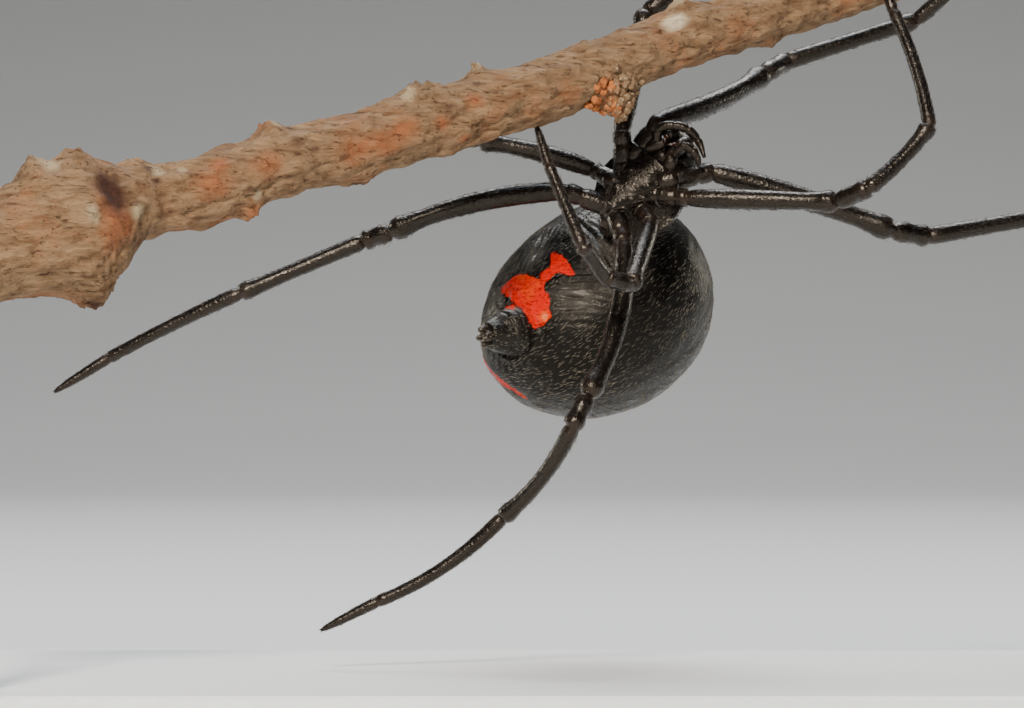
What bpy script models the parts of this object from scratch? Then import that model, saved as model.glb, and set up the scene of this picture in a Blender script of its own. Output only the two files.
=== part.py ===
"""A female black widow spider, life size, hanging under a cut length of branch on a plain display stand.

Named sizes are in millimetres and become metres when a mesh is made.  +X runs to the right, +Y
away from the viewer and +Z up, and the origin is the middle of the underside of the stand's base.
A direction is given by its bearing, the angle in the upright XZ plane from +X towards +Z, and its
tilt, the angle from that plane towards +Y, both in degrees.
"""

import math

import bmesh
import bpy
import numpy as np

MILLIMETRE = 0.001

# Stand
BASE_LENGTH = 46.0
BASE_DEPTH = 25.0
BASE_THICKNESS = 2.5
BASE_CORNER = 3.0
BASE_EDGE = 0.4
ROD_RADIUS = 0.6
ROD_X = {"left": -19.6, "right": 19.7}

# Gaps between neighbouring pieces: at joints of the body and legs, and at the smallest parts
JOINT_GAP = 0.15
SMALL_GAP = 0.05

# Branch: its middle line, its radius along X, and its knots and scars.  A knot is given by its
# place along X, its angle round the branch from the top towards the viewer, its height, its
# spread along the branch and its spread round it in degrees.
BRANCH_ENDS = (-20.8, 21.4)
BRANCH_SLOPE_Y = 0.446
BRANCH_OFFSET_Y = -0.9
BRANCH_HEIGHT = (
    (-20.8, 16.3), (-18.7, 16.95), (-17.0, 17.6), (-15.4, 18.15), (-14.3, 18.55), (-12.5, 18.85),
    (-10.8, 19.55), (-6.1, 20.9), (-3.1, 21.85), (0.7, 23.15), (2.4, 23.9), (9.5, 26.2), (21.4, 30.2),
)
BRANCH_RADIUS = (
    (-20.8, 1.6), (-18.7, 1.74), (-17.0, 2.1), (-16.2, 2.15), (-15.4, 1.85), (-14.8, 1.42),
    (-14.2, 1.24), (-12.5, 1.2), (-10.8, 1.12), (-6.1, 1.13), (-3.1, 1.14), (2.4, 1.04),
    (5.5, 1.0), (9.5, 0.88), (15.5, 0.77), (21.4, 0.67),
)
BRANCH_KNOTS = (
    (-16.6, 172, 0.7, 0.7, 42), (-17.2, 5, 0.42, 0.4, 25), (-15.9, 10, 0.3, 0.5, 30),
    (-14.1, 0, 0.2, 0.45, 40), (-11.3, 150, 0.4, 0.4, 28), (-9.9, 0, 0.42, 0.4, 30),
    (-7.7, 175, 0.2, 0.6, 40), (-4.9, 10, 0.35, 0.7, 40), (-2.9, 0, 0.4, 0.25, 18),
    (0.7, 15, 0.15, 0.3, 30), (1.2, 165, 0.75, 0.42, 34), (4.1, 10, 0.32, 0.5, 40),
    (6.7, 170, 0.15, 0.4, 30), (-15.6, -90, 0.35, 0.8, 40), (0.5, -80, 0.3, 0.5, 40),
    (8.8, -70, 0.22, 0.6, 40), (14.0, 40, 0.2, 0.4, 35),
)
BRANCH_RING_SPACING = 0.62
BRANCH_SIDES = 16

# Spider's front body: the place of the middle of its breast plate, and its turn
BREAST = (2.4, 2.5, 19.6)
FRONT_BODY_TURN = {"bearing": 46, "tilt": 0, "roll": 20}

# Front body, in its own axes: forward, half width, height of the shield's edge and of its top
# above the breast plate, and height of the underside.
SHIELD_EDGE = 0.95
FRONT_BODY_STATIONS = (-1.8, -1.5, -1.0, -0.4, 0.2, 0.8, 1.3, 1.7, 2.0, 2.2)
HALF_WIDTH = (0.35, 0.95, 1.4, 1.62, 1.58, 1.28, 0.98, 0.82, 0.68, 0.42)
TOP_HEIGHT = (1.25, 1.6, 1.85, 1.95, 2.05, 2.2, 2.25, 2.2, 2.0, 1.7)
UNDERSIDE_HEIGHT = (0.7, 0.3, 0.14, 0.1, 0.1, 0.1, 0.15, 0.5, 0.85, 1.1)
SOCKET_LENGTH = 0.6
FOVEA = {"forward": -0.45, "length": 0.35, "width": 0.55, "depth": 0.22}
BREAST_OUTLINE = (
    (-1.5, 0.1), (-1.15, 0.36), (-0.6, 0.68), (0.0, 0.84), (0.55, 0.86), (1.0, 0.7), (1.1, 0.45),
)
BREAST_THICKNESS = 0.3
BREAST_DOME = 0.1

# Legs: lengths of hip, thigh, kneecap, shin, heel and toe pieces, and the thigh's radius
LEG_LENGTHS = {
    "right_1": (1.3, 6.4, 1.7, 5.2, 6.0, 2.0),
    "right_2": (1.2, 5.1, 1.6, 3.2, 4.6, 1.7),
    "right_3": (0.85, 4.15, 1.3, 2.2, 3.5, 1.9),
    "right_4": (1.45, 6.35, 1.1, 4.75, 5.25, 2.25),
    "left_1": (1.5, 6.7, 1.5, 5.2, 5.8, 2.2),
    "left_2": (1.15, 5.3, 1.4, 3.2, 4.7, 1.7),
    "left_3": (0.85, 4.0, 1.25, 1.8, 3.3, 1.55),
    "left_4": (1.3, 6.3, 1.3, 4.7, 5.3, 2.2),
}
THIGH_RADIUS = {1: 0.4, 2: 0.36, 3: 0.33, 4: 0.37}

# Where each hip grows from the front body: forward, to the left, and below the breast plate
HIP_ROOTS = {
    "right_1": (0.86, -0.82, -0.25),
    "right_2": (0.1, -0.84, -0.25),
    "right_3": (-0.6, -0.85, -0.25),
    "right_4": (-1.4, -0.3, -0.25),
    "left_1": (0.86, 0.84, -0.25),
    "left_2": (0.15, 0.86, -0.25),
    "left_3": (-0.65, 0.88, -0.25),
    "left_4": (-1.4, 0.25, -0.25),
}

# Pose of each leg: bearing and tilt of its hip, thigh, kneecap, shin, heel and toe pieces
LEG_POSES = {
    "right_1": ((54, -3), (26, 48), (32, 53), (18, 11), (41, -13), (24, -32)),
    "right_2": ((95, -3), (78, 29), (33, 6), (24, -5), (-1, -22), (8, 17)),
    "right_3": ((149, 38), (166, -3.5), (158, 20), (166, -45), (-179, -69), (-110, -66)),
    "right_4": ((160, 0), (-167, -1), (-162, 23), (-157, -3), (-154, 7), (-148, -3)),
    "left_1": ((12, 15), (-18, 1), (-8, 29), (10, 13), (19, -12), (26, -15)),
    "left_2": ((-7, -27), (-2, -14), (24, -37), (45, 14), (105, 25), (108, 14)),
    "left_3": ((-58, -55), (-109, -54), (163, -38), (127, -44), (112, 25), (107, 21)),
    "left_4": ((-75, -38), (-104, -30), (-116, -21), (-127, 32), (-146, 4), (-153, 1)),
}

# Bow of each leg's thigh, shin and heel piece, to the left of its way as the viewer sees it
LEG_BOWS = {
    "right_1": (-0.2, 0.0, 0.0),
    "right_2": (0.0, 0.0, 0.0),
    "right_3": (-0.12, 0.0, 0.0),
    "right_4": (-0.34, 0.0, -0.06),
    "left_1": (0.1, 0.0, 0.0),
    "left_2": (0.0, -0.12, -0.15),
    "left_3": (0.0, 0.0, 0.0),
    "left_4": (0.42, 0.24, 0.3),
}

# Radius along each leg piece: share of its length, then share of the thigh's radius
HIP_PROFILE = ((0.28, 0.92), (0.6, 0.88))
THIGH_PROFILE = ((0.09, 0.88), (0.3, 1.0), (0.5, 0.96), (0.7, 0.88), (0.92, 0.92))
KNEECAP_PROFILE = ((0.3, 0.86), (0.75, 0.88))
SHIN_PROFILE = ((0.1, 0.76), (0.5, 0.72), (0.9, 0.82))
HEEL_PROFILE = ((0.1, 0.68), (0.35, 0.62), (0.65, 0.58), (0.92, 0.58))
TOE_PROFILE = ((0.15, 0.55), (0.6, 0.42), (0.93, 0.22))
JOINT_SHARES = (0.8, 0.72, 0.72, 0.68, 0.6, 0.52)
TOE_TIP_SHARE = 0.12
LEG_SIDES = 10

# Jaws, feelers and eyes, in the front body's axes
JAW_PATH = ((2.0, 0.28, -0.7), (2.03, 0.29, -0.4), (1.98, 0.28, -0.05), (1.85, 0.24, 0.25))
JAW_RADII = (0.2, 0.25, 0.22, 0.14)
FANG_PATH = ((1.81, 0.22, 0.33), (1.72, 0.16, 0.46), (1.64, 0.06, 0.49))
FANG_RADII = (0.09, 0.06, 0.02)
FEELER_PATHS = {
    "right": (
        (1.5, -0.42, 0.2), (1.85, -0.57, 0.47), (2.25, -0.27, 0.52), (2.5, 0.2, 0.35),
        (2.45, 0.73, 0.12), (2.2, 1.25, 0.1),
    ),
    "left": (
        (1.5, 0.42, 0.2), (1.72, 0.56, 0.55), (1.98, 0.66, 0.75), (2.06, 0.95, 0.62),
        (1.98, 1.2, 0.42), (1.86, 1.38, 0.28),
    ),
}
FEELER_RADII = (0.14, 0.17, 0.16, 0.17, 0.14, 0.06)
EYES = {
    "front_middle": (2.12, 0.15, 0.11),
    "front_side": (1.98, 0.45, 0.1),
    "back_middle": (1.84, 0.17, 0.1),
    "back_side": (1.66, 0.56, 0.1),
}

# Abdomen: its middle and turn, half length, half width, depth below and above its middle, and
# how much wider and deeper it is in front than behind
ABDOMEN_MIDDLE = (0.96, 6.5, 15.2)
ABDOMEN_TURN = {"bearing": 34, "tilt": 3, "roll": 40}
ABDOMEN_HALF_LENGTH = 4.4
ABDOMEN_HALF_WIDTH = 3.65
ABDOMEN_DEPTH_BELOW = 3.1
ABDOMEN_DEPTH_ABOVE = 4.3
ABDOMEN_FRONT_WIDER = 0.02
ABDOMEN_FRONT_DEEPER = 0.1
ABDOMEN_FLATNESS = 0.88
ABDOMEN_RINGS = 22
ABDOMEN_SIDES = 32

# Waist and spinnerets: angle of their place on the abdomen from its front end, and for the
# spinnerets also round it, where the middle of the belly is at a quarter turn
WAIST_ANGLE = 64
WAIST_RADIUS = 0.3
WAIST_ROOT = (-1.8, 0.0, -0.8)
SPINNERET_ANGLE = 134
SPINNERET_AROUND = 77
SPINNERET_LEAN = 0.45
SPINNERET_CONE = ((-0.35, 0.86), (0.0, 0.86), (0.35, 0.79), (0.8, 0.62), (1.1, 0.46))
SPINNERET_PAIRS = ((0.18, 0.17, 0.16, 0.36), (0.12, -0.02, 0.09, 0.26), (0.18, -0.2, 0.13, 0.32))


def direction(bearing, tilt):
    """The unit vector with this bearing and tilt."""
    b, t = math.radians(bearing), math.radians(tilt)
    return np.array([math.cos(t) * math.cos(b), math.sin(t), math.cos(t) * math.sin(b)])


def unit(vector):
    """The vector at length one."""
    return vector / np.linalg.norm(vector)


def body_axes(bearing, tilt, roll):
    """Forward, left and downward (belly side) vectors of a body whose belly faces the viewer.

    The roll turns the body about its forward axis and brings its left side to the viewer."""
    forward = direction(bearing, tilt)
    viewer = np.array([0.0, -1.0, 0.0])
    belly = unit(viewer - forward * (viewer @ forward))
    left = np.cross(-belly, forward)
    r = math.radians(roll)
    belly = math.cos(r) * belly - math.sin(r) * left
    return np.array([forward, np.cross(-belly, forward), belly])


FRONT_AXES = body_axes(**FRONT_BODY_TURN)
ABDOMEN_AXES = body_axes(**ABDOMEN_TURN)


def front_body_point(local):
    """A point, or many, given as forward, left and below the breast plate."""
    return np.array(BREAST) + np.asarray(local, float) @ FRONT_AXES


def smooth_curve(stations, values, at):
    """A smooth curve through the values at the stations, read at the places asked for.

    Between stations it is a cubic whose slope at each station is that of the line through its
    two neighbours."""
    x, y, at = (np.asarray(a, float) for a in (stations, values, at))
    slope = np.gradient(y, x)
    i = np.clip(np.searchsorted(x, at) - 1, 0, len(x) - 2)
    width = x[i + 1] - x[i]
    t = np.clip((at - x[i]) / width, 0, 1)
    return (
        (2 * t**3 - 3 * t**2 + 1) * y[i]
        + (t**3 - 2 * t**2 + t) * width * slope[i]
        + (3 * t**2 - 2 * t**3) * y[i + 1]
        + (t**3 - t**2) * width * slope[i + 1]
    )


def turned_frame(axis, like):
    """Two vectors square to the axis and to each other, the first as near as can be to another."""
    across = unit(like - axis * (like @ axis))
    return across, np.cross(axis, across)


def ring(middle, axis, radius, sides, like):
    """Points of a circle about the middle, square to the axis."""
    across, up = turned_frame(axis, like)
    angle = np.linspace(0, 2 * math.pi, sides, endpoint=False)[:, None]
    return middle + radius * (np.cos(angle) * across + np.sin(angle) * up)


def material(name, colour, roughness, metallic=0.0):
    """A Principled material with this colour, roughness and metallic value."""
    made = bpy.data.materials.new(name)
    made.use_nodes = True
    shader = made.node_tree.nodes["Principled BSDF"]
    shader.inputs["Base Color"].default_value = (*colour, 1.0)
    shader.inputs["Roughness"].default_value = roughness
    shader.inputs["Metallic"].default_value = metallic
    return made


def new_object(name, mesh_work, finish):
    """An object of this name from a finished bmesh in millimetres, with its faces turned outwards."""
    bmesh.ops.recalc_face_normals(mesh_work, faces=mesh_work.faces)
    bmesh.ops.scale(mesh_work, vec=(MILLIMETRE,) * 3, verts=mesh_work.verts)
    mesh = bpy.data.meshes.new(name)
    mesh_work.to_mesh(mesh)
    mesh_work.free()
    mesh.materials.append(finish)
    mesh.shade_smooth()
    mesh.set_sharp_from_angle(angle=math.radians(45))
    made = bpy.data.objects.new(name, mesh)
    bpy.context.scene.collection.objects.link(made)
    return made


def loft(name, rings, finish, tips=None):
    """A closed solid through rings of points, its ends closed by fans to two tips.

    Without tips each end is closed to its ring's own middle, as a flat face."""
    rings = np.asarray(rings, float)
    first, last = tips if tips is not None else (rings[0].mean(axis=0), rings[-1].mean(axis=0))
    work = bmesh.new()
    loops = [[work.verts.new(point) for point in one] for one in rings]
    for near, far in zip(loops, loops[1:]):
        for a, b, c, d in zip(near, near[1:] + near[:1], far[1:] + far[:1], far):
            work.faces.new((a, b, c, d))
    for tip, loop in ((first, loops[0]), (last, loops[-1])):
        middle = work.verts.new(tip)
        for a, b in zip(loop, loop[1:] + loop[:1]):
            work.faces.new((middle, a, b))
    return new_object(name, work, finish)


def tube(name, points, radii, finish, sides, first_axis=None, last_axis=None):
    """A closed round tube along a path, with a radius at each point.

    Its end faces are square to the axes given, or else to the path."""
    points = np.asarray(points, float)
    steps = np.diff(points, axis=0)
    axes = np.array([unit(a) for a in np.vstack([steps[:1], steps[:-1] + steps[1:], steps[-1:]])])
    if first_axis is not None:
        axes[0] = first_axis
    if last_axis is not None:
        axes[-1] = last_axis
    like = turned_frame(axes[0], np.eye(3)[np.argmin(np.abs(axes[0]))])[0]
    rings = []
    for point, axis, radius in zip(points, axes, radii):
        rings.append(ring(point, axis, radius, sides, like))
        like = turned_frame(axis, like)[0]
    return loft(name, rings, finish)


def ellipsoid(name, middle, half_sizes, axes, finish, sides=12):
    """A closed ellipsoid with its half sizes along three axes."""
    angle = np.linspace(0, math.pi, sides // 2 + 1)[1:-1]
    turn = np.linspace(0, 2 * math.pi, sides, endpoint=False)
    a, t = np.meshgrid(angle, turn, indexing="ij")
    unit_points = np.stack([np.cos(a), np.sin(a) * np.cos(t), np.sin(a) * np.sin(t)], axis=-1)
    rings = np.asarray(middle) + (unit_points * half_sizes) @ axes
    ends = [np.asarray(middle) + side * half_sizes[0] * axes[0] for side in (1, -1)]
    return loft(name, rings, finish, ends)


def combine(target, others, operation):
    """Joins or cuts the target with other closed pieces in one Boolean and removes those pieces."""
    group = bpy.data.collections.new(target.name + "_pieces")
    for other in others:
        group.objects.link(other)
    change = target.modifiers.new(operation.lower(), "BOOLEAN")
    change.operation = operation
    change.operand_type = "COLLECTION"
    change.collection = group
    change.solver = "EXACT"
    bpy.context.view_layer.update()
    evaluated = target.evaluated_get(bpy.context.evaluated_depsgraph_get())
    mesh = bpy.data.meshes.new_from_object(evaluated)
    target.modifiers.clear()
    target.data = mesh
    for other in others:
        bpy.data.objects.remove(other)
    bpy.data.collections.remove(group)
    keep_largest(mesh)


def keep_largest(mesh):
    """Keeps only the mesh's largest closed surface."""
    work = bmesh.new()
    work.from_mesh(mesh)
    bmesh.ops.remove_doubles(work, verts=work.verts, dist=1e-7)
    left = set(work.verts)
    groups = []
    while left:
        group = {left.pop()}
        edge = list(group)
        while edge:
            for link in edge.pop().link_edges:
                for vert in link.verts:
                    if vert in left:
                        left.discard(vert)
                        group.add(vert)
                        edge.append(vert)
        groups.append(group)
    largest = max(groups, key=len)
    bmesh.ops.delete(work, geom=[v for v in work.verts if v not in largest], context="VERTS")
    work.to_mesh(mesh)
    work.free()


def branch_axis():
    """The branch's mean direction."""
    heights = np.array(BRANCH_HEIGHT)
    rise = (heights[-1, 1] - heights[0, 1]) / (heights[-1, 0] - heights[0, 0])
    return unit(np.array([1.0, BRANCH_SLOPE_Y, rise]))


def branch_middle(x):
    """Points of the branch's middle line at these places along X."""
    x = np.asarray(x, float)
    height = smooth_curve(*zip(*BRANCH_HEIGHT), x)
    return np.stack([x, BRANCH_SLOPE_Y * x + BRANCH_OFFSET_Y, height], axis=-1)


def branch_rings(swell=0.0):
    """Rings of the bark: the smooth radius, and a bell-shaped lump added for each knot."""
    axis = branch_axis()
    count = round((BRANCH_ENDS[1] - BRANCH_ENDS[0]) / BRANCH_RING_SPACING)
    x = np.linspace(*BRANCH_ENDS, count)[:, None]
    angle = np.linspace(0, 2 * math.pi, BRANCH_SIDES, endpoint=False)[None, :]
    radius = smooth_curve(*zip(*BRANCH_RADIUS), x) + 0 * angle
    for place, around, height, along, spread in BRANCH_KNOTS:
        apart = (np.degrees(angle) - around + 180) % 360 - 180
        radius = radius + height * np.exp(-(((x - place) / along) ** 2) - (apart / spread) ** 2)
    up, _ = turned_frame(axis, np.array([0.0, 0.0, 1.0]))
    front = -np.cross(axis, up) if np.cross(axis, up)[1] > 0 else np.cross(axis, up)
    around = np.cos(angle)[..., None] * up + np.sin(angle)[..., None] * front
    return branch_middle(x[:, 0])[:, None, :] + (radius + swell)[..., None] * around


def make_branch(bark):
    """The cut length of branch that the spider hangs from."""
    return loft("branch", branch_rings(), bark)


def make_stand(base_finish, rod_finish, bark):
    """A flat base with rounded corners, and two rods whose tops are hollowed to fit the bark."""
    work = bmesh.new()
    bmesh.ops.create_cube(work, size=1.0)
    bmesh.ops.scale(work, vec=(BASE_LENGTH, BASE_DEPTH, BASE_THICKNESS), verts=work.verts)
    bmesh.ops.translate(work, vec=(0, 0, BASE_THICKNESS / 2), verts=work.verts)
    upright = [e for e in work.edges if abs(e.verts[0].co.z - e.verts[1].co.z) > BASE_THICKNESS / 2]
    bmesh.ops.bevel(work, geom=upright, offset=BASE_CORNER, segments=5, affect="EDGES", profile=0.5)
    rim = [e for e in work.edges if min(v.co.z for v in e.verts) > BASE_THICKNESS - 1e-6]
    bmesh.ops.bevel(work, geom=rim, offset=BASE_EDGE, segments=2, affect="EDGES", profile=0.5)
    new_object("stand_base", work, base_finish)
    for side, x in ROD_X.items():
        top = branch_middle(x)
        foot = np.array([top[0], top[1], BASE_THICKNESS + JOINT_GAP])
        rod = tube(f"stand_rod_{side}", (foot, top), (ROD_RADIUS,) * 2, rod_finish, 20)
        combine(rod, [loft("saddle", branch_rings(JOINT_GAP), bark)], "DIFFERENCE")


def front_body_rings():
    """Rings of the front body: a domed shield above its edge, hollow flanks for the hips below it.

    Each ring is two halves of a superellipse.  Above the edge its power is a little over two, a
    dome; below it is under one, so the flank is hollow.  The fovea is a bell-shaped dent."""
    stations = np.array(FRONT_BODY_STATIONS)
    forward = np.unique(np.concatenate([stations, (stations[1:] + stations[:-1]) / 2]))[:, None]
    half_width = smooth_curve(stations, HALF_WIDTH, forward)
    top = smooth_curve(stations, TOP_HEIGHT, forward)
    under = smooth_curve(stations, UNDERSIDE_HEIGHT, forward)
    edge = np.maximum(under + 0.05, np.minimum(SHIELD_EDGE + 0 * forward, top - 0.25))
    edge = np.where(forward > 1.5, (top + under) / 2, edge)
    angle = np.linspace(0, 2 * math.pi, 28, endpoint=False)[None, :]
    cos, sin = np.cos(angle), np.sin(angle)
    power = np.where((sin < 0) & (forward < 1.5), 2 / 0.8, 2 / 2.2)
    left = half_width * np.sign(cos) * np.abs(cos) ** power
    reach = np.where(sin > 0, top - edge, edge - under)
    height = edge + reach * np.sign(sin) * np.abs(sin) ** power
    dent = FOVEA["depth"] * np.exp(
        -(((forward - FOVEA["forward"]) / FOVEA["length"]) ** 2) - (left / FOVEA["width"]) ** 2
    )
    height = height - np.where(sin > 0, dent * sin, 0)
    return np.stack([forward + 0 * left, left, -height], axis=-1)


def breast_rings():
    """Rings of the breast plate: a heart-shaped outline, slightly domed, as thin lens sections."""
    outline = np.array(BREAST_OUTLINE)
    forward = np.linspace(outline[0, 0], outline[-1, 0], 15)[:, None]
    half_width = smooth_curve(outline[:, 0], outline[:, 1], forward)
    angle = np.linspace(0, 2 * math.pi, 20, endpoint=False)[None, :]
    left = half_width * np.cos(angle)
    depth = BREAST_DOME * (1 - (left / 0.9) ** 2)
    below = np.where(np.sin(angle) > 0, depth * np.sin(angle), BREAST_THICKNESS * np.sin(angle))
    return np.stack([forward + 0 * left, left, below], axis=-1)


def eye_places():
    """Middle and radius of each eye, by name, on the shield's front."""
    stations = FRONT_BODY_STATIONS
    places = {}
    for name, (forward, left, radius) in EYES.items():
        half_width = smooth_curve(stations, HALF_WIDTH, forward)
        top = smooth_curve(stations, TOP_HEIGHT, forward)
        under = smooth_curve(stations, UNDERSIDE_HEIGHT, forward)
        edge = (top + under) / 2
        height = edge + (top - edge) * (1 - (left / half_width) ** 2.2) ** (1 / 2.2)
        for side, sign in (("left", 1), ("right", -1)):
            places[f"eye_{name}_{side}"] = (np.array([forward, sign * left, -height]), radius)
    return places


def clearance(piece, finish):
    """A tube that is larger all round than another by the joint gap, at both ends too."""
    points, radii, first, last = piece
    first = unit(points[1] - points[0]) if first is None else first
    last = unit(points[-1] - points[-2]) if last is None else last
    points = np.vstack([points[0] - first * JOINT_GAP, points, points[-1] + last * JOINT_GAP])
    radii = np.array([radii[0], *radii, radii[-1]]) + JOINT_GAP
    return tube("clearance", points, radii, finish, LEG_SIDES, first, last)


def make_front_body(cuticle, eye_finish, hips, neighbours):
    """The shield, breast plate, lip and hip sockets in one piece, and the eyes set into it.

    Everything that stands beside it is cut clear of it by the joint gap."""
    body = loft("cephalothorax", front_body_point(front_body_rings()), cuticle)
    added = [loft("breast_plate", front_body_point(breast_rings()), cuticle)]
    for points, radii, first, _ in hips:
        path = (points[0] - first * SOCKET_LENGTH, points[0])
        added.append(tube("socket", path, (radii[0],) * 2, cuticle, LEG_SIDES))
    added.append(
        ellipsoid("lip", front_body_point((1.15, 0, -0.1)), (0.3, 0.3, 0.16), FRONT_AXES, cuticle)
    )
    for sign in (1, -1):
        middle = front_body_point((1.28, sign * 0.36, -0.14))
        added.append(ellipsoid("mouth_plate", middle, (0.32, 0.24, 0.2), FRONT_AXES, cuticle))
    combine(body, added, "UNION")
    combine(body, [clearance(piece, cuticle) for piece in neighbours], "DIFFERENCE")
    sockets = []
    for name, (place, radius) in eye_places().items():
        middle = front_body_point(place)
        size = (radius + SMALL_GAP,) * 3
        sockets.append(ellipsoid("socket", middle, size, FRONT_AXES, cuticle, 10))
        ellipsoid(name, middle, (radius,) * 3, FRONT_AXES, eye_finish, 10)
    combine(body, sockets, "DIFFERENCE")


def mouthpart_paths():
    """Path and radii of the two jaws and of the two feelers beside them, by name."""
    paths = {}
    for side, sign in (("left", 1), ("right", -1)):
        jaw = front_body_point(np.array(JAW_PATH) * (1, sign, 1))
        paths[f"chelicera_{side}"] = (jaw, JAW_RADII, None, None)
        corners = np.array(FEELER_PATHS[side])
        count = len(corners)
        finer = np.linspace(0, count - 1, 2 * count - 1)
        local = np.stack([smooth_curve(range(count), corners[:, i], finer) for i in range(3)], axis=1)
        radii = smooth_curve(range(count), FEELER_RADII, finer)
        paths[f"pedipalp_{side}"] = (front_body_point(local), radii, None, None)
    return paths


def make_mouthparts(cuticle, fang_finish, mouthparts):
    """The jaws and feelers, and a fang under each jaw."""
    for name, (points, radii, _, _) in mouthparts.items():
        tube(name, points, radii, cuticle, LEG_SIDES)
    for side, sign in (("left", 1), ("right", -1)):
        fang = front_body_point(np.array(FANG_PATH) * (1, sign, 1))
        tube(f"fang_{side}", fang, FANG_RADII, fang_finish, 8)


def leg_joints(leg):
    """The points where one leg's pieces meet, from its root to its tip."""
    points = [front_body_point(HIP_ROOTS[leg])]
    for length, (bearing, tilt) in zip(LEG_LENGTHS[leg], LEG_POSES[leg]):
        points.append(points[-1] + length * direction(bearing, tilt))
    return np.array(points)


def profile_points(start, end, profile, thigh, bow):
    """Points and radii inside one leg piece, which bows to the left of its way in a parabola."""
    share, size = np.array(profile).T
    aside = unit(np.cross(end - start, (0.0, 1.0, 0.0)))
    straight = start + (end - start) * share[:, None]
    return straight + aside * (4 * bow * share * (1 - share))[:, None], size * thigh


def leg_pieces(leg):
    """Path, radii and end axes of a leg's four solids: hip, thigh, shin with kneecap, and foot.

    Neighbouring end faces are parallel, square to the mean of the two directions, and stand the
    joint gap apart."""
    joints = leg_joints(leg)
    thigh = THIGH_RADIUS[int(leg[-1])]
    steps = np.array([unit(s) for s in np.diff(joints, axis=0)])
    bends = np.array([steps[0], *[unit(a + b) for a, b in zip(steps, steps[1:])], steps[-1]])
    profiles = (
        HIP_PROFILE, THIGH_PROFILE, KNEECAP_PROFILE, SHIN_PROFILE, HEEL_PROFILE, TOE_PROFILE,
    )
    thigh_bow, shin_bow, heel_bow = LEG_BOWS[leg]
    bows = (0.0, thigh_bow, 0.0, shin_bow, heel_bow, 0.0)
    joint_radii = [*(share * thigh for share in JOINT_SHARES), TOE_TIP_SHARE * thigh]
    joint_radii[0] = 0.72 * thigh

    def one(first, last):
        start = joints[first] + bends[first] * JOINT_GAP / 2
        end = joints[last] - bends[last] * JOINT_GAP / 2
        points, radii = [start], [joint_radii[first]]
        for part in range(first, last):
            inner, sizes = profile_points(
                joints[part], joints[part + 1], profiles[part], thigh, bows[part]
            )
            points.extend(inner)
            radii.extend(sizes)
            if part + 1 < last:
                points.append(joints[part + 1])
                radii.append(joint_radii[part + 1])
        points.append(end)
        radii.append(joint_radii[last])
        return np.array(points), np.array(radii), bends[first], bends[last]

    return {"hip": one(0, 1), "femur": one(1, 2), "tibia": one(2, 4), "foot": one(4, 6)}


def make_legs(cuticle, legs):
    """All eight legs, each of four solids."""
    for leg, pieces in legs.items():
        for part, (points, radii, first, last) in pieces.items():
            tube(f"leg_{leg}_{part}", points, radii, cuticle, LEG_SIDES, first, last)


def abdomen_surface(along, around):
    """Points of the abdomen: a ball stretched by its half sizes, deeper in front and flatter below.

    The first angle runs from the front end to the rear end and the second round the body, from
    the left side through the belly."""
    along, around = np.asarray(along, float), np.asarray(around, float)
    cos, sin = np.cos(along), np.sin(along)
    width = ABDOMEN_HALF_WIDTH * (1 + ABDOMEN_FRONT_WIDER * cos) * sin
    deeper = 1 + ABDOMEN_FRONT_DEEPER * cos
    below = ABDOMEN_DEPTH_BELOW * deeper * sin**ABDOMEN_FLATNESS
    above = ABDOMEN_DEPTH_ABOVE * deeper * sin
    depth = np.where(np.sin(around) > 0, below, above) * np.sin(around)
    local = np.stack([ABDOMEN_HALF_LENGTH * cos + 0 * around, width * np.cos(around), depth], axis=-1)
    return np.array(ABDOMEN_MIDDLE) + local @ ABDOMEN_AXES


def belly_point(along, around=90.0):
    """A point on the belly, and the outward direction there, from two angles in degrees."""
    steps = np.radians([-1.0, 0.0, 1.0])
    along, around = math.radians(along), math.radians(around)
    before, here, after = abdomen_surface(along + steps, np.full(3, around))
    left, _, right = abdomen_surface(np.full(3, along), around + steps)
    outward = unit(np.cross(after - before, right - left))
    return here, outward if outward @ (here - np.array(ABDOMEN_MIDDLE)) > 0 else -outward


def make_abdomen(name, cuticle, scale=1.0):
    """The round abdomen, or a larger copy of it about the same middle."""
    along = np.linspace(0, math.pi, ABDOMEN_RINGS + 1)[1:-1][:, None]
    around = np.linspace(0, 2 * math.pi, ABDOMEN_SIDES, endpoint=False)[None, :]
    ends = [
        np.array(ABDOMEN_MIDDLE) + sign * ABDOMEN_HALF_LENGTH * ABDOMEN_AXES[0] for sign in (1, -1)
    ]
    middle = np.array(ABDOMEN_MIDDLE)
    rings = middle + scale * (abdomen_surface(along, around) - middle)
    return loft(name, rings, cuticle, [middle + scale * (end - middle) for end in ends])


def waist_piece():
    """Path, radii and end axes of the thin waist between the front body and the abdomen."""
    start = front_body_point(WAIST_ROOT)
    place, outward = belly_point(WAIST_ANGLE)
    end = place + outward * JOINT_GAP
    points = np.array([start, (start + end) / 2, end])
    return points, np.array([1.0, 0.85, 1.0]) * WAIST_RADIUS, unit(end - start), -outward


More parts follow.
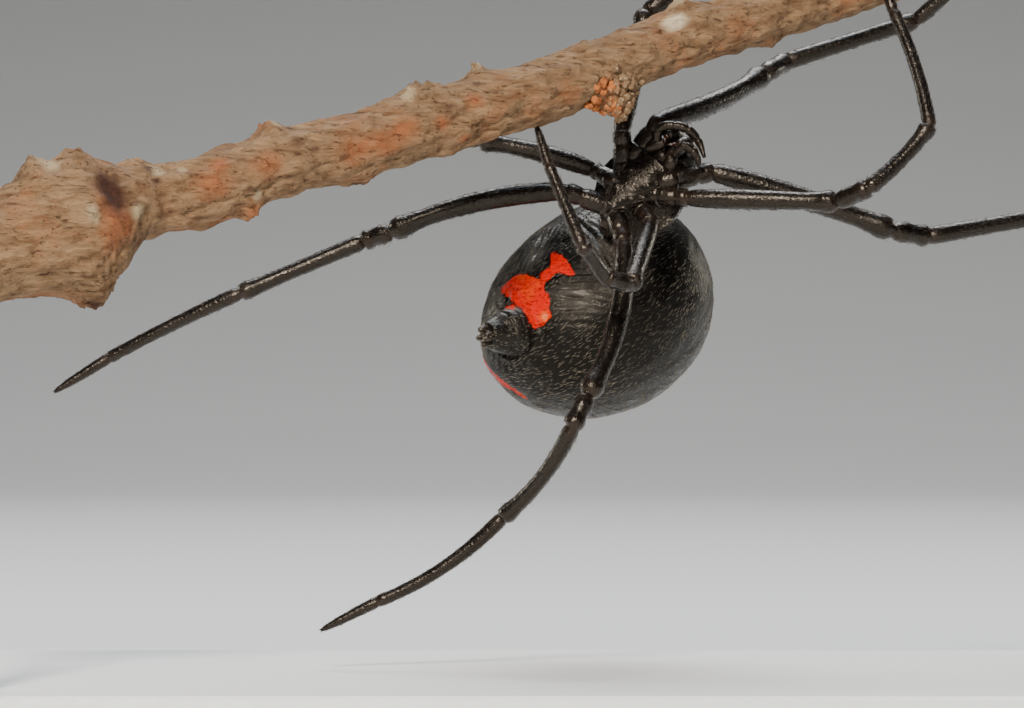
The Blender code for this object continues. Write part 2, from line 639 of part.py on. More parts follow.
def make_spinnerets(cuticle):
    """The cone at the rear of the belly, with three pairs of spinnerets on its end.

    Its foot is cut to the curve of the abdomen, the joint gap away from it."""
    place, outward = belly_point(SPINNERET_ANGLE, SPINNERET_AROUND)
    axis = unit(outward - SPINNERET_LEAN * ABDOMEN_AXES[0])
    points = [place + axis * length for length, _ in SPINNERET_CONE]
    cone = tube("spinnerets", points, [r for _, r in SPINNERET_CONE], cuticle, 16, outward)
    across = ABDOMEN_AXES[1]
    down = unit(np.cross(axis, across))
    pairs = []
    for aside, height, radius, length in SPINNERET_PAIRS:
        for sign in (1, -1):
            foot = points[-1] + sign * aside * across + height * down
            tip = foot + (axis + 0.12 * sign * across) * length
            path = (foot - axis * 0.2, foot + axis * length * 0.6, tip)
            pairs.append(tube("spinneret", path, (radius, radius * 0.85, radius * 0.4), cuticle, 8))
    combine(cone, pairs, "UNION")
    scale = 1 + JOINT_GAP / ABDOMEN_DEPTH_BELOW
    combine(cone, [make_abdomen("clear_of_abdomen", cuticle, scale)], "DIFFERENCE")


def main():
    """Clears the scene and builds every piece."""
    for old in list(bpy.data.objects):
        bpy.data.objects.remove(old)
    cuticle = material("black_cuticle", (0.012, 0.01, 0.009), 0.28)
    abdomen_finish = material("abdomen_cuticle", (0.014, 0.012, 0.012), 0.38)
    eye_finish = material("eye", (0.01, 0.01, 0.012), 0.06)
    fang_finish = material("fang", (0.09, 0.02, 0.01), 0.2)
    bark = material("bark", (0.42, 0.27, 0.18), 0.85)
    base_finish = material("stand_paint", (0.8, 0.8, 0.78), 0.45)
    rod_finish = material("stand_steel", (0.6, 0.6, 0.62), 0.3, 1.0)

    legs = {leg: leg_pieces(leg) for leg in LEG_POSES}
    make_stand(base_finish, rod_finish, bark)
    make_branch(bark)
    mouthparts = mouthpart_paths()
    waist = waist_piece()
    hips = [pieces["hip"] for pieces in legs.values()]
    thighs = [pieces["femur"] for pieces in legs.values()]
    make_front_body(cuticle, eye_finish, hips, (*hips, *thighs, *mouthparts.values(), waist))
    make_mouthparts(cuticle, fang_finish, mouthparts)
    make_legs(cuticle, legs)
    make_abdomen("abdomen", abdomen_finish)
    tube("pedicel", waist[0], waist[1], cuticle, 12, waist[2], waist[3])
    make_spinnerets(cuticle)


main()
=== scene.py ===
"""The finished look of a life-size female black widow spider under a cut length of branch.

Every surface is worked out here from named sizes in millimetres, with +X to the right, +Y away
from the viewer and +Z up, and becomes metres when a mesh is made.  Skins cover the solids of the
flesh, thin closed spikes make the coat of hairs, and the branch, its scars, the stand and the
stage get their finishes.  A direction is given by its bearing, the angle in the upright XZ plane
from +X towards +Z, and its tilt, the angle from that plane towards +Y, both in degrees.
"""

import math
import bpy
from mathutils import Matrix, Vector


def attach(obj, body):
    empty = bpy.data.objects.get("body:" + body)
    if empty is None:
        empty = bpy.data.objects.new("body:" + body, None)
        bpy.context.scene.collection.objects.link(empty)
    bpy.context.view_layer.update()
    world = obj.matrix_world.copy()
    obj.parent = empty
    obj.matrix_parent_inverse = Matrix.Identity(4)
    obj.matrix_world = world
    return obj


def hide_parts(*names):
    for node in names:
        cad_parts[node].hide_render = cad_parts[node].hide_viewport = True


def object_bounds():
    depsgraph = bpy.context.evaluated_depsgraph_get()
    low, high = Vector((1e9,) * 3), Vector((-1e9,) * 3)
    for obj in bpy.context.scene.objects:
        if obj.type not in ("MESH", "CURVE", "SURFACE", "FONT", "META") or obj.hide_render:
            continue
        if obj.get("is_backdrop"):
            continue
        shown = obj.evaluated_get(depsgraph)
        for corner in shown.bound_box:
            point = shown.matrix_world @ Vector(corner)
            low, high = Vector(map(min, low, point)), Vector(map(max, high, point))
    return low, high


bl_info = {
    "name": "Black Widow Spider on a Branch",
    "version": (1, 0, 0),
    "blender": (4, 5, 0),
    "location": "3D View > Sidebar > Spider",
    "description": "Builds the skins, coat, bark, stand and stage of a life-size spider model",
    "category": "Object",
}

import bpy
import numpy as np

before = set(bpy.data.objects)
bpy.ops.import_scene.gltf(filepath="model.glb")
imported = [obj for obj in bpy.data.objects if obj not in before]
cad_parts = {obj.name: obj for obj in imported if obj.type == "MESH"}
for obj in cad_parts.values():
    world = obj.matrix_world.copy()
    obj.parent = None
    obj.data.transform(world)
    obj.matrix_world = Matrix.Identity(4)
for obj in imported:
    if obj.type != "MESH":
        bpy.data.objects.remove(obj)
CAD_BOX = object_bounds()
MILLIMETRE = 0.001

# Branch: its middle line, its radius along X, and its knots and scars.  A knot is given by its
# place along X, its angle round the branch from the top towards the viewer, its height, its
# spread along the branch and its spread round it in degrees.
BRANCH_ENDS = (-20.8, 21.4)
BRANCH_SLOPE_Y = 0.446
BRANCH_OFFSET_Y = -0.9
BRANCH_HEIGHT = (
    (-20.8, 16.3), (-18.7, 16.95), (-17.0, 17.6), (-15.4, 18.15), (-14.3, 18.55), (-12.5, 18.85),
    (-10.8, 19.55), (-6.1, 20.9), (-3.1, 21.85), (0.7, 23.15), (2.4, 23.9), (9.5, 26.2), (21.4, 30.2),
)
BRANCH_RADIUS = (
    (-20.8, 1.6), (-18.7, 1.74), (-17.0, 2.1), (-16.2, 2.15), (-15.4, 1.85), (-14.8, 1.42),
    (-14.2, 1.24), (-12.5, 1.2), (-10.8, 1.12), (-6.1, 1.13), (-3.1, 1.14), (2.4, 1.04),
    (5.5, 1.0), (9.5, 0.88), (15.5, 0.77), (21.4, 0.67),
)
BRANCH_KNOTS = (
    (-16.6, 172, 0.7, 0.7, 42), (-17.2, 5, 0.42, 0.4, 25), (-15.9, 10, 0.3, 0.5, 30),
    (-14.1, 0, 0.2, 0.45, 40), (-11.3, 150, 0.4, 0.4, 28), (-9.9, 0, 0.42, 0.4, 30),
    (-7.7, 175, 0.2, 0.6, 40), (-4.9, 10, 0.35, 0.7, 40), (-2.9, 0, 0.4, 0.25, 18),
    (0.7, 15, 0.15, 0.3, 30), (1.2, 165, 0.75, 0.42, 34), (4.1, 10, 0.32, 0.5, 40),
    (6.7, 170, 0.15, 0.4, 30), (-15.6, -90, 0.35, 0.8, 40), (0.5, -80, 0.3, 0.5, 40),
    (8.8, -70, 0.22, 0.6, 40), (14.0, 40, 0.2, 0.4, 35),
)

# The hollow in the knob, the crease behind it and the healed scar: place and spread along X, then
# angle and spread round the branch
BARK_HOLLOW = (-15.5, 0.42, 64, 26)
BARK_CREASE = (-13.95, 0.2, 75, 80)
BARK_SCAR = (3.5, 0.5, 48, 20)

# The bark's rings and sides, how far its grain is stretched, the height at which a knot is full, and
# its ripples: their size, seed and number of waves
BRANCH_RINGS = 560
BRANCH_SIDES = 110
GRAIN_STRETCH = 0.72
KNOT_FULL = 0.3
BARK_RIPPLES = {
    "ridges": (0.5, 21, 14), "folds": (0.22, 22, 14), "lumps": (1.1, 23, 14), "knots": (0.3, 24, 10),
}

# A cut end's face: how far it stands out, its rings' sizes, and their places through its thickness
CUT_LIFT = 0.012
CUT_SIZES = (0.97, 0.98, 0.98, 0.75, 0.5, 0.25, 0.05)
CUT_DEPTHS = (-1.0, 0.0, 1.0, 1.0, 1.0, 1.0, 1.0)

# Clusters of growths: place along X, angle, spread, number of grains and their half size.  Grains
# stray along and round the branch, and are warm in colour about one place along X.
GROWTH_CLUSTERS = ((0.8, 140, 0.44, 32, 0.19), (1.4, 160, 0.44, 32, 0.19), (-2.9, 5, 0.2, 9, 0.1))
GRAIN = {
    "along": 0.6, "around": 52, "buried": 0.02, "sizes": (0.6, 1.15), "lumps": 0.16, "ripples": (0.16, 8),
}
WARM_GRAINS = {"place": 0.3, "spread": 0.8, "stray": 0.15}

# Soft patches on the bark, each given by its place along X, its angle and its radius
RUSTY_PATCHES = (
    (-11.27, 147, 0.35), (-12.33, 77, 0.65), (-10.56, 82, 0.55), (-9.84, 0, 0.35), (-7.77, 94, 0.65),
    (-6.71, 96, 0.5), (-15.72, 76, 0.5), (-15.97, 110, 0.45), (-15.33, 104, 0.3), (-4.77, 89, 0.3),
    (-3.59, 69, 0.35), (-4.17, 129, 0.25), (-5.94, 82, 0.45), (-11.85, 49, 0.3), (0.8, 150, 0.4),
    (-13.5, 235, 0.6), (-6.0, 260, 0.6), (3.0, 240, 0.4), (8.6, 285, 0.5), (14.2, 60, 0.35),
    (9.4, 100, 0.4), (17.5, 200, 0.5), (-18.6, 280, 0.5),
)
DARK_PATCHES = (
    (-15.48, 63, 0.5), (-13.95, 84, 0.22), (-14.0, 30, 0.25), (-9.41, 58, 0.3), (-7.61, 180, 0.3),
    (-4.44, 70, 0.3), (-14.87, 144, 0.45), (-16.72, 167, 0.3), (-11.3, 109, 0.2), (-8.92, 79, 0.2),
    (-13.95, 120, 0.22), (-13.9, 55, 0.2), (1.5, 130, 0.25), (6.9, 175, 0.3), (-15.4, 270, 0.5),
)
PALE_PATCHES = (
    (-13.77, 32, 0.35), (-16.81, 15, 0.35), (-14.93, 97, 0.3), (-11.04, 126, 0.22), (-5.38, 21, 0.3),
    (-16.4, 82, 0.25), (-12.97, 40, 0.2), (-2.9, 5, 0.25), (-9.7, 12, 0.25), (4.1, 8, 0.4),
)

# Front body: the place of the middle of its breast plate, its turn, and its shape in its own
# axes: forward, half width, height of the shield's edge and of its top above the breast plate.
# Its dome and its hollow flanks are curves of these powers, and the flanks end where the face starts.
# The fovea is a pit on its top, with furrows round it and a groove behind the head in front of it.
BREAST = (2.4, 2.5, 19.6)
FRONT_BODY_TURN = {"bearing": 46, "tilt": 0, "roll": 20}
SHIELD_EDGE = 0.95
FRONT_BODY_STATIONS = (-1.8, -1.5, -1.0, -0.4, 0.2, 0.8, 1.3, 1.7, 2.0, 2.2)
HALF_WIDTH = (0.35, 0.95, 1.4, 1.62, 1.58, 1.28, 0.98, 0.82, 0.68, 0.42)
TOP_HEIGHT = (1.25, 1.6, 1.85, 1.95, 2.05, 2.2, 2.25, 2.2, 2.0, 1.7)
UNDERSIDE_HEIGHT = (0.7, 0.3, 0.14, 0.1, 0.1, 0.1, 0.15, 0.5, 0.85, 1.1)
FACE_START = 1.5
DOME_POWER = 2.2
FLANK_POWER = 0.8
FOVEA = {"forward": -0.45, "length": 0.35, "width": 0.55, "depth": 0.22}
FURROWS = {"number": 8, "depth": 0.035, "out": 0.8, "spread": 0.5}
GROOVE = {"ahead": 0.95, "slope": 0.5, "width": 0.12, "depth": 0.06}

# Breast plate: its outline, its thickness, the points between the hips, its dome with the length
# over which it fades at each end, and the rim and the lumps, each at a share of the half width; the
# lumps come again and again along the plate
BREAST_OUTLINE = (
    (-1.5, 0.1), (-1.15, 0.36), (-0.6, 0.68), (0.0, 0.84), (0.55, 0.86), (1.0, 0.7), (1.1, 0.45),
)
BREAST_THICKNESS = 0.3
BREAST_POINTS = (0.48, -0.26, -1.0)
BREAST_POINT = {"out": 0.075, "width": 0.13}
BREAST_DOME = {"height": 0.19, "half_width": 0.95, "rear_fade": 0.2, "front_fade": 0.12}
BREAST_RIM = {"height": 0.07, "place": 0.88, "width": 0.06}
BREAST_LUMPS = {"height": 0.05, "place": 0.62, "width": 0.2, "first": 0.1, "apart": 0.74}
BREAST_HAIRS = 900

# Legs: lengths of hip, thigh, kneecap, shin, heel and toe pieces, and the thigh's radius
LEG_LENGTHS = {
    "right_1": (1.3, 6.4, 1.7, 5.2, 6.0, 2.0),
    "right_2": (1.2, 5.1, 1.6, 3.2, 4.6, 1.7),
    "right_3": (0.85, 4.15, 1.3, 2.2, 3.5, 1.9),
    "right_4": (1.45, 6.35, 1.1, 4.75, 5.25, 2.25),
    "left_1": (1.5, 6.7, 1.5, 5.2, 5.8, 2.2),
    "left_2": (1.15, 5.3, 1.4, 3.2, 4.7, 1.7),
    "left_3": (0.85, 4.0, 1.25, 1.8, 3.3, 1.55),
    "left_4": (1.3, 6.3, 1.3, 4.7, 5.3, 2.2),
}
THIGH_RADIUS = {1: 0.4, 2: 0.36, 3: 0.33, 4: 0.37}

# Where each hip grows from the front body: forward, and to the left; all at one depth below the
# breast plate.  Its collar is a short sleeve: steps along the hip, and shares of the thigh's radius.
HIP_ROOTS = {
    "right_1": (0.86, -0.82), "right_2": (0.1, -0.84), "right_3": (-0.6, -0.85), "right_4": (-1.4, -0.3),
    "left_1": (0.86, 0.84), "left_2": (0.15, 0.86), "left_3": (-0.65, 0.88), "left_4": (-1.4, 0.25),
}
HIP_DEPTH = -0.25
COLLAR_STEPS = (-0.55, -0.3, -0.12, 0.02, 0.1, 0.1)
COLLAR_SIZES = (0.8, 0.98, 1.1, 1.12, 1.04, 0.86)

# Pose of each leg: bearing and tilt of its hip, thigh, kneecap, shin, heel and toe pieces
LEG_POSES = {
    "right_1": ((54, -3), (26, 48), (32, 53), (18, 11), (41, -13), (24, -32)),
    "right_2": ((95, -3), (78, 29), (33, 6), (24, -5), (-1, -22), (8, 17)),
    "right_3": ((149, 38), (166, -3.5), (158, 20), (166, -45), (-179, -69), (-110, -66)),
    "right_4": ((160, 0), (-167, -1), (-162, 23), (-157, -3), (-154, 7), (-148, -3)),
    "left_1": ((12, 15), (-18, 1), (-8, 29), (10, 13), (19, -12), (26, -15)),
    "left_2": ((-7, -27), (-2, -14), (24, -37), (45, 14), (105, 25), (108, 14)),
    "left_3": ((-58, -55), (-109, -54), (163, -38), (127, -44), (112, 25), (107, 21)),
    "left_4": ((-75, -38), (-104, -30), (-116, -21), (-127, 32), (-146, 4), (-153, 1)),
}

# Bow of a leg's thigh, shin and heel piece, to the left of its way as the viewer sees it
LEG_BOWS = {
    "right_1": (-0.2, 0.0, 0.0), "right_3": (-0.12, 0.0, 0.0), "right_4": (-0.34, 0.0, -0.06),
    "left_1": (0.1, 0.0, 0.0), "left_2": (0.0, -0.12, -0.15), "left_4": (0.42, 0.24, 0.3),
}

# Radius along each leg piece: share of its length, then share of the thigh's radius.  Each piece
# swells before its end and draws in to the soft skin of the joint.
LEG_PROFILES = (
    (
        (0, 0.94), (0.2, 1.0), (0.45, 0.97), (0.57, 0.9), (0.62, 0.74),
        (0.67, 0.88), (0.85, 0.94), (0.96, 0.87), (1, 0.68),
    ),
    (
        (0, 0.68), (0.03, 0.82), (0.12, 0.93), (0.3, 1.0), (0.55, 0.95), (0.8, 0.84),
        (0.89, 0.97), (0.94, 1.13), (0.98, 1.0), (1, 0.58),
    ),
    ((0, 0.58), (0.1, 0.84), (0.3, 0.97), (0.6, 0.84), (0.86, 0.98), (0.95, 0.9), (1, 0.6)),
    (
        (0, 0.6), (0.035, 0.8), (0.1, 0.8), (0.5, 0.71), (0.82, 0.74), (0.93, 0.9),
        (0.98, 0.82), (1, 0.52),
    ),
    ((0, 0.54), (0.025, 0.67), (0.08, 0.69), (0.5, 0.6), (0.9, 0.56), (0.97, 0.6), (1, 0.46)),
    ((0, 0.46), (0.05, 0.54), (0.3, 0.5), (0.7, 0.4), (0.92, 0.26), (1, 0.12)),
)

# Steps of a leg's path, how many of them are eased together in its radius, the rings of each piece
# and the leg's sides, the length over which a joint bends, how far a joint's colour reaches, the
# crease's place along the hip, and the claws
LEG_STEPS = 6000
RADIUS_EASING = 25
LEG_RINGS = 30
LEG_SIDES = 24
JOINT_BEND = 0.42
JOINT_REACH = 0.3
HIP_CREASE = 0.62
CLAW = {"size": 0.09, "angle": 1.7, "buried": 0.06, "apart": 0.02, "radii": (0.022, 0.02, 0.013, 0.002)}

# Hairs by where they grow: ranges of their length, as a share of its mean or, on the front body, in
# millimetres, of their radius and of their lift from the skin in degrees, in the order in which they
# are drawn, and how far they stray from their common lie.  Some of a leg's hairs, by chance, are long
# ones, and its density goes with the place along it.  The cone and each spinneret have a number of
# hairs and their mean length.
HAIRS = {
    "abdomen": {"length": (0.6, 1.4), "radius": (0.005, 0.0085), "lift": (5, 16)},
    "spinnerets": {"length": (0.6, 1.3), "radius": (0.006, 0.01), "lift": (15, 35)},
    "front_body": {"length": (0.08, 0.2), "lift": (15, 40), "radius": (0.005, 0.009)},
    "leg": {"length": (0.6, 1.5), "chance": (0, 1), "radius": (0.005, 0.009), "lift": (8, 30)},
}
HAIR_STRAY = {"abdomen": 0.13, "spinnerets": 0.0, "front_body": 0.3, "leg": 0.15}
HAIR_BURIED = 0.03
MAP_PATCH = 0.003
LONG_HAIR_SHARE = 0.06
LONG_HAIR = 1.9
CONE_HAIRS = (240, 0.13)
SPINNERET_HAIRS = (50, 0.12)
LEG_HAIR_DENSITY = ((0, 0.3), (0.05, 0.7), (0.35, 0.8), (0.6, 1.3), (0.8, 1.9), (1, 3.0))

# Seeds of the random draws; each leg adds its own number to the legs' seed
SEEDS = {"abdomen": 11, "front_body": 31, "legs": 50, "growths": 5}

# Jaws, feelers, lip and eyes, in the front body's axes.  A feeler has necks at these places, counted
# in points of its path, and an eye its place forward and aside, and its radius.
JAW_PATH = ((1.98, 0.3, -0.75), (2.06, 0.33, -0.4), (2.03, 0.32, -0.05), (1.88, 0.26, 0.25))
JAW_RADII = (0.26, 0.35, 0.32, 0.16)
FANG_PATH = ((1.84, 0.235, 0.22), (1.81, 0.22, 0.33), (1.72, 0.16, 0.46), (1.64, 0.06, 0.49))
FANG_RADII = (0.09, 0.085, 0.055, 0.012)
FEELER_PATHS = (
    (
        (1.5, -0.42, 0.2), (1.85, -0.57, 0.47), (2.25, -0.27, 0.52), (2.5, 0.2, 0.35),
        (2.45, 0.73, 0.12), (2.2, 1.25, 0.1),
    ),
    (
        (1.5, 0.42, 0.2), (1.72, 0.56, 0.55), (1.98, 0.66, 0.75), (2.06, 0.95, 0.62),
        (1.98, 1.2, 0.42), (1.86, 1.38, 0.28),
    ),
)
FEELER_RADII = (0.14, 0.17, 0.16, 0.17, 0.14, 0.06)
FEELER_NECKS = (0.8, 2.1, 2.9, 3.8)
FEELER_LOBE_PATH = ((1.0, 0.62, -0.2), (1.25, 0.45, 0.02), (1.55, 0.27, 0.06), (1.78, 0.14, 0.0))
FEELER_LOBE_RADII = (0.2, 0.23, 0.2, 0.09)
LIP_MIDDLE = (1.2, 0, -0.02)
LIP_HALF_SIZES = (0.26, 0.3, 0.17)
THINNEST_TUBE = 0.002
NECK_WIDTH = 0.07
NECK_DEPTH = 0.22
EYES = {
    "front_middle": (2.12, 0.15, 0.11),
    "front_side": (1.98, 0.45, 0.1),
    "back_middle": (1.84, 0.17, 0.1),
    "back_side": (1.66, 0.56, 0.1),
}

# Abdomen: its middle and turn, half length, half width, depth below and above its middle, how
# much wider and deeper it is in front than behind, how flat its belly is, its rings and sides, the
# angle from its front end about which the rings are closest, and how strongly rings and sides crowd
ABDOMEN_MIDDLE = (0.96, 6.5, 15.2)
ABDOMEN_TURN = {"bearing": 34, "tilt": 3, "roll": 40}
ABDOMEN_HALF_LENGTH = 4.4
ABDOMEN_HALF_WIDTH = 3.65
ABDOMEN_DEPTH_BELOW = 3.1
ABDOMEN_DEPTH_ABOVE = 4.3
ABDOMEN_FRONT_WIDER = 0.02
ABDOMEN_FRONT_DEEPER = 0.1
ABDOMEN_FLATNESS = 0.88
ABDOMEN_RINGS = 310
ABDOMEN_SIDES = 260
FINEST_ALONG = 1.9
RING_CROWDING = 0.2
SIDE_CROWDING = 0.55

# Outlines of the red marks on the belly, forward and to the left.  The band at the rear end and
# the spots on the back are given by points of their middle line and their half width.  UNMARKED is
# a distance that is far from any mark.
HOURGLASS = (
    (-0.34, -0.7), (-0.15, -0.38), (-0.04, 0.16), (-0.13, 0.84), (-0.37, 0.57), (-0.5, 0.35),
    (-0.66, 0.22), (-0.78, 0.3), (-1.05, 0.22), (-1.21, 0.24), (-1.29, 0.4), (-1.31, 0.72),
    (-1.4, 0.98), (-1.55, 1.13), (-1.65, 1.39), (-2.15, 1.38), (-2.36, 1.22), (-2.36, 1.0),
    (-2.34, 0.39), (-2.42, -0.41), (-2.54, -1.0), (-2.47, -1.3), (-1.98, -1.16), (-1.7, -1.03),
    (-1.38, -0.42), (-1.32, -0.13), (-1.18, -0.06), (-1.0, -0.2), (-0.78, -0.18), (-0.67, -0.13),
    (-0.48, -0.35),
)
RED_SPOT = ((-2.49, -0.12), (-2.47, 0.28), (-2.66, 0.34), (-2.8, 0.02), (-2.72, -0.34))
UNMARKED = 2.0
PALE_CORNER = {"forward": -1.85, "left": 1.22, "size": 0.2}
REAR_BAND = (
    (-4.15, -1.2, 0.2, 0.16), (-4.35, -0.3, 0.28, 0.27), (-4.32, 0.5, 0.25, 0.26),
    (-4.15, 1.15, 0.08, 0.16), (-3.9, 1.6, -0.2, 0.08),
)
BACK_SPOTS = ((-3.75, 0.0, -1.9, 0.26), (-3.45, 0.02, -2.35, 0.2))

# Pairs of pits along the back: forward, and out to each side, and the width of a pit and its edge
BACK_PIT = {"width": 0.13, "edge": 0.35}
BACK_PITS = ((1.9, 0.9), (0.6, 1.15), (-0.8, 1.1), (-1.9, 0.85))

# Waist and spinnerets: angle of their place on the abdomen from its front end, and for the
# spinnerets also round it, where the middle of the belly is at a quarter turn.  The cone and a
# spinneret have profiles of radius, and each pair its place aside and down, radius and length.
# The cone's relief is ripples, each of a height, a size and a seed.
WAIST_ANGLE = 64
WAIST_RADII = (0.39, 0.285, 0.36)
WAIST_ROOTS = ((-1.5, 0.0, -0.8), (-1.8, 0.0, -0.8))
WAIST_BURIED = 0.15
SPINNERET_ANGLE = 134
SPINNERET_AROUND = 77
SPINNERET_LEAN = 0.45
SPINNERET_PROFILE = ((-0.5, 1.0), (0.5, 0.9), (0.58, 0.72), (0.66, 0.8), (0.85, 0.62), (1.0, 0.3))
SPINNERET_CONE = ((-0.35, 0.86), (0.0, 0.86), (0.35, 0.79), (0.8, 0.62), (1.1, 0.46))
CONE_CREASES = {"places": (0.42, 0.08), "width": 0.05, "depth": 0.03}
CONE_RELIEF = ((0.006, 0.25, 9), (0.035, 1.0, 10))
SPINNERET_PAIRS = ((0.18, 0.17, 0.16, 0.36), (0.12, -0.02, 0.09, 0.26), (0.18, -0.2, 0.13, 0.32))

# Slits in the belly's skin on either side of the hourglass: the middle of the left one, forward
# and to the left, the turn of its length from forward to the left in degrees, its own length and
# width, and the reach of the folds, the hollow and the painted sheen about it
SLIT_MIDDLE = (-0.6, 1.45)
SLIT_TURN = 40
SLIT = {"length": 0.34, "width": 0.05, "folds": 0.75, "hollow": 0.6, "painted_sheen_along": 0.75, "painted_sheen_across": 0.42}
SLIT_LIPS = {"apart": 0.13, "width": 0.085, "length": 0.42}

# Furrows across the front of the belly and the deepest of them, and the painted sheen there: place
# forward, how they bow, spread forward and to the sides.  The ring about the spinnerets has a
# radius and a width, and so have its folds.
FURROW_BOW = 0.07
FRONT_FURROWS = {"place": 1.35, "spread": 0.5, "aside": 1.4}
DEEPEST_FURROW = {"place": -0.1, "spread": 0.1, "aside": 1.9}
FRONT_PAINTED_SHEEN = {"place": 1.5, "spread": 0.5, "aside": 1.2, "share": 0.5}
SPINNERET_RING = {"radius": 1.05, "width": 0.12}
RING_FOLDS = {"number": 20, "radius": 1.35, "width": 0.25}

# Heights and depths of the abdomen's relief and of the bark's, how far apart the folds are, sizes
# and seeds of the skin's ripples, and the depth at which the belly's and the back's relief is full
FOLD_SPACING = 0.24
SKIN_RIPPLES = {"fine": (0.7, 4), "broad": (2.2, 5), "furrows": (0.8, 6)}
RELIEF_FULL = 1.2
SKIN_RELIEF = {
    "fine": 0.012, "broad": 0.02, "lips": 0.14, "folds": 0.045, "slit": 0.19, "hollow": 0.09,
    "pit": 0.07, "pit_edge": 0.03, "furrows": 0.02, "front_furrow": 0.08, "ring": 0.05, "ring_folds": 0.015,
}
BARK_RELIEF = {
    "lumps": 0.045, "ridges": 0.045, "folds": 0.045, "knots": 0.07, "hollow": 0.34, "crease": 0.14,
    "scar": 0.06,
}

# Colours of the hourglass's pale corner and of the painted sheen, belly skin painted paler where
# light shines on it, and colour and roughness of the small polished parts
PALE_RED = (0.85, 0.3, 0.12)
PAINTED_SHEEN_GREY = (0.12, 0.105, 0.085)
GLOSS = {
    "claw_horn": ((0.05, 0.018, 0.01), 0.2),
    "eye_gloss": ((0.02, 0.015, 0.012), 0.05),
    "fang_horn": ((0.045, 0.014, 0.009), 0.18),
}

# Camera: its place, the length of its lens, the width of its picture and its reach in metres
CAMERA_PLACE = (-2.0, -167.5, 13.5)
LENS = 170.0
PICTURE_WIDTH = 36.0
CAMERA_REACH = (0.01, 10)

# Stage: the floor's front edge, where the floor begins to bend up, the bend's radius, the wall's
# height, and half the width.  Each light has its place, size, share of the key's power and colour.
BACKDROP = {"front": -900, "back": 300, "bend": 200, "wall": 1200, "half_width": 1500}
SKY_COLOUR = (0.75, 0.8, 0.88, 1.0)
SKY_STRENGTH = 0.05
LIGHT_AIM = (1.0, 3.0, 17.0)
LIGHTS = (
    ("key", (-35, -140, 105), 30, 1.3, (1.0, 0.95, 0.88)),
    ("front", (40, -170, 40), 30, 0.08, (1.0, 0.98, 0.95)),
    ("above", (20, 40, 190), 90, 0.35, (0.6, 0.78, 1.0)),
    ("rim_right", (120, 110, 50), 30, 0.12, (1.0, 0.96, 0.82)),
    ("rim_left", (-130, 90, 50), 30, 0.16, (1.0, 0.96, 0.82)),
    ("backdrop_wash", (0, 190, 300), 200, 3.2, (1.0, 1.0, 1.0)),
)


def direction(bearing, tilt):
    """The unit vector with this bearing and tilt."""
    b, t = math.radians(bearing), math.radians(tilt)
    return np.array([math.cos(t) * math.cos(b), math.sin(t), math.cos(t) * math.sin(b)])


def unit(vectors):
    """The vectors, one or many, at length one."""
    vectors = np.asarray(vectors, float)
    length = np.linalg.norm(vectors, axis=-1, keepdims=True)
    return vectors / np.maximum(length, 1e-12)


def body_axes(bearing, tilt, roll):
    """Forward, left and downward (belly side) vectors of a body whose belly faces the viewer.

    The roll turns the body about its forward axis and brings its left side to the viewer."""
    forward = direction(bearing, tilt)
    viewer = np.array([0.0, -1.0, 0.0])
    belly = unit(viewer - forward * (viewer @ forward))
    left = np.cross(-belly, forward)
    r = math.radians(roll)
    belly = math.cos(r) * belly - math.sin(r) * left
    return np.array([forward, np.cross(-belly, forward), belly])


FRONT_AXES = body_axes(**FRONT_BODY_TURN)
ABDOMEN_AXES = body_axes(**ABDOMEN_TURN)


def front_body_point(local):
    """A point, or many, given as forward, left and below the breast plate."""
    return np.array(BREAST) + np.asarray(local, float) @ FRONT_AXES


def mirrored(path, sign):
    """Points of a path of the front body's left side, or of its right side where the sign is -1."""
    return front_body_point(np.array(path) * (1, sign, 1))


def smooth_curve(stations, values, at):
    """A smooth curve through the values at the stations, read at the places asked for.

    Between stations it is a cubic whose slope at each station is that of the line through its
    two neighbours."""
    x, y, at = (np.asarray(a, float) for a in (stations, values, at))
    slope = np.gradient(y, x)
    i = np.clip(np.searchsorted(x, at) - 1, 0, len(x) - 2)
    width = x[i + 1] - x[i]
    t = np.clip((at - x[i]) / width, 0, 1)
    return (
        (2 * t**3 - 3 * t**2 + 1) * y[i]
        + (t**3 - 2 * t**2 + t) * width * slope[i]
        + (3 * t**2 - 2 * t**3) * y[i + 1]
        + (t**3 - t**2) * width * slope[i + 1]
    )


def ripples(points, size, seed, waves=10):
    """Smooth lumps from -1 to 1 of about this size: the mean of plane waves in seeded directions.

    Each wave is the sine of the place along its direction, over its length, plus its phase."""
    rng = np.random.default_rng(seed)
    ways = unit(rng.normal(size=(waves, 3)))
    lengths = size * rng.uniform(0.6, 1.5, waves)
    phases = rng.uniform(0, 2 * math.pi, waves)
    flat = np.asarray(points, float).reshape(-1, 3)
    total = np.sin(flat @ ways.T * (2 * math.pi / lengths) + phases).sum(axis=1)
    return (total / math.sqrt(waves)).reshape(np.asarray(points).shape[:-1])


def full_turn(count):
    """This many angles evenly round a circle."""
    return np.linspace(0, 2 * math.pi, count, endpoint=False)


def turn_between(angle, other):
    """The turn in degrees from one angle to another, the short way round."""
    return (other - angle + 180) % 360 - 180


def bell(distance, width):
    """One in the middle and falling to nothing: e to the minus square of distance over width."""
    return np.exp(-((np.asarray(distance) / width) ** 2))


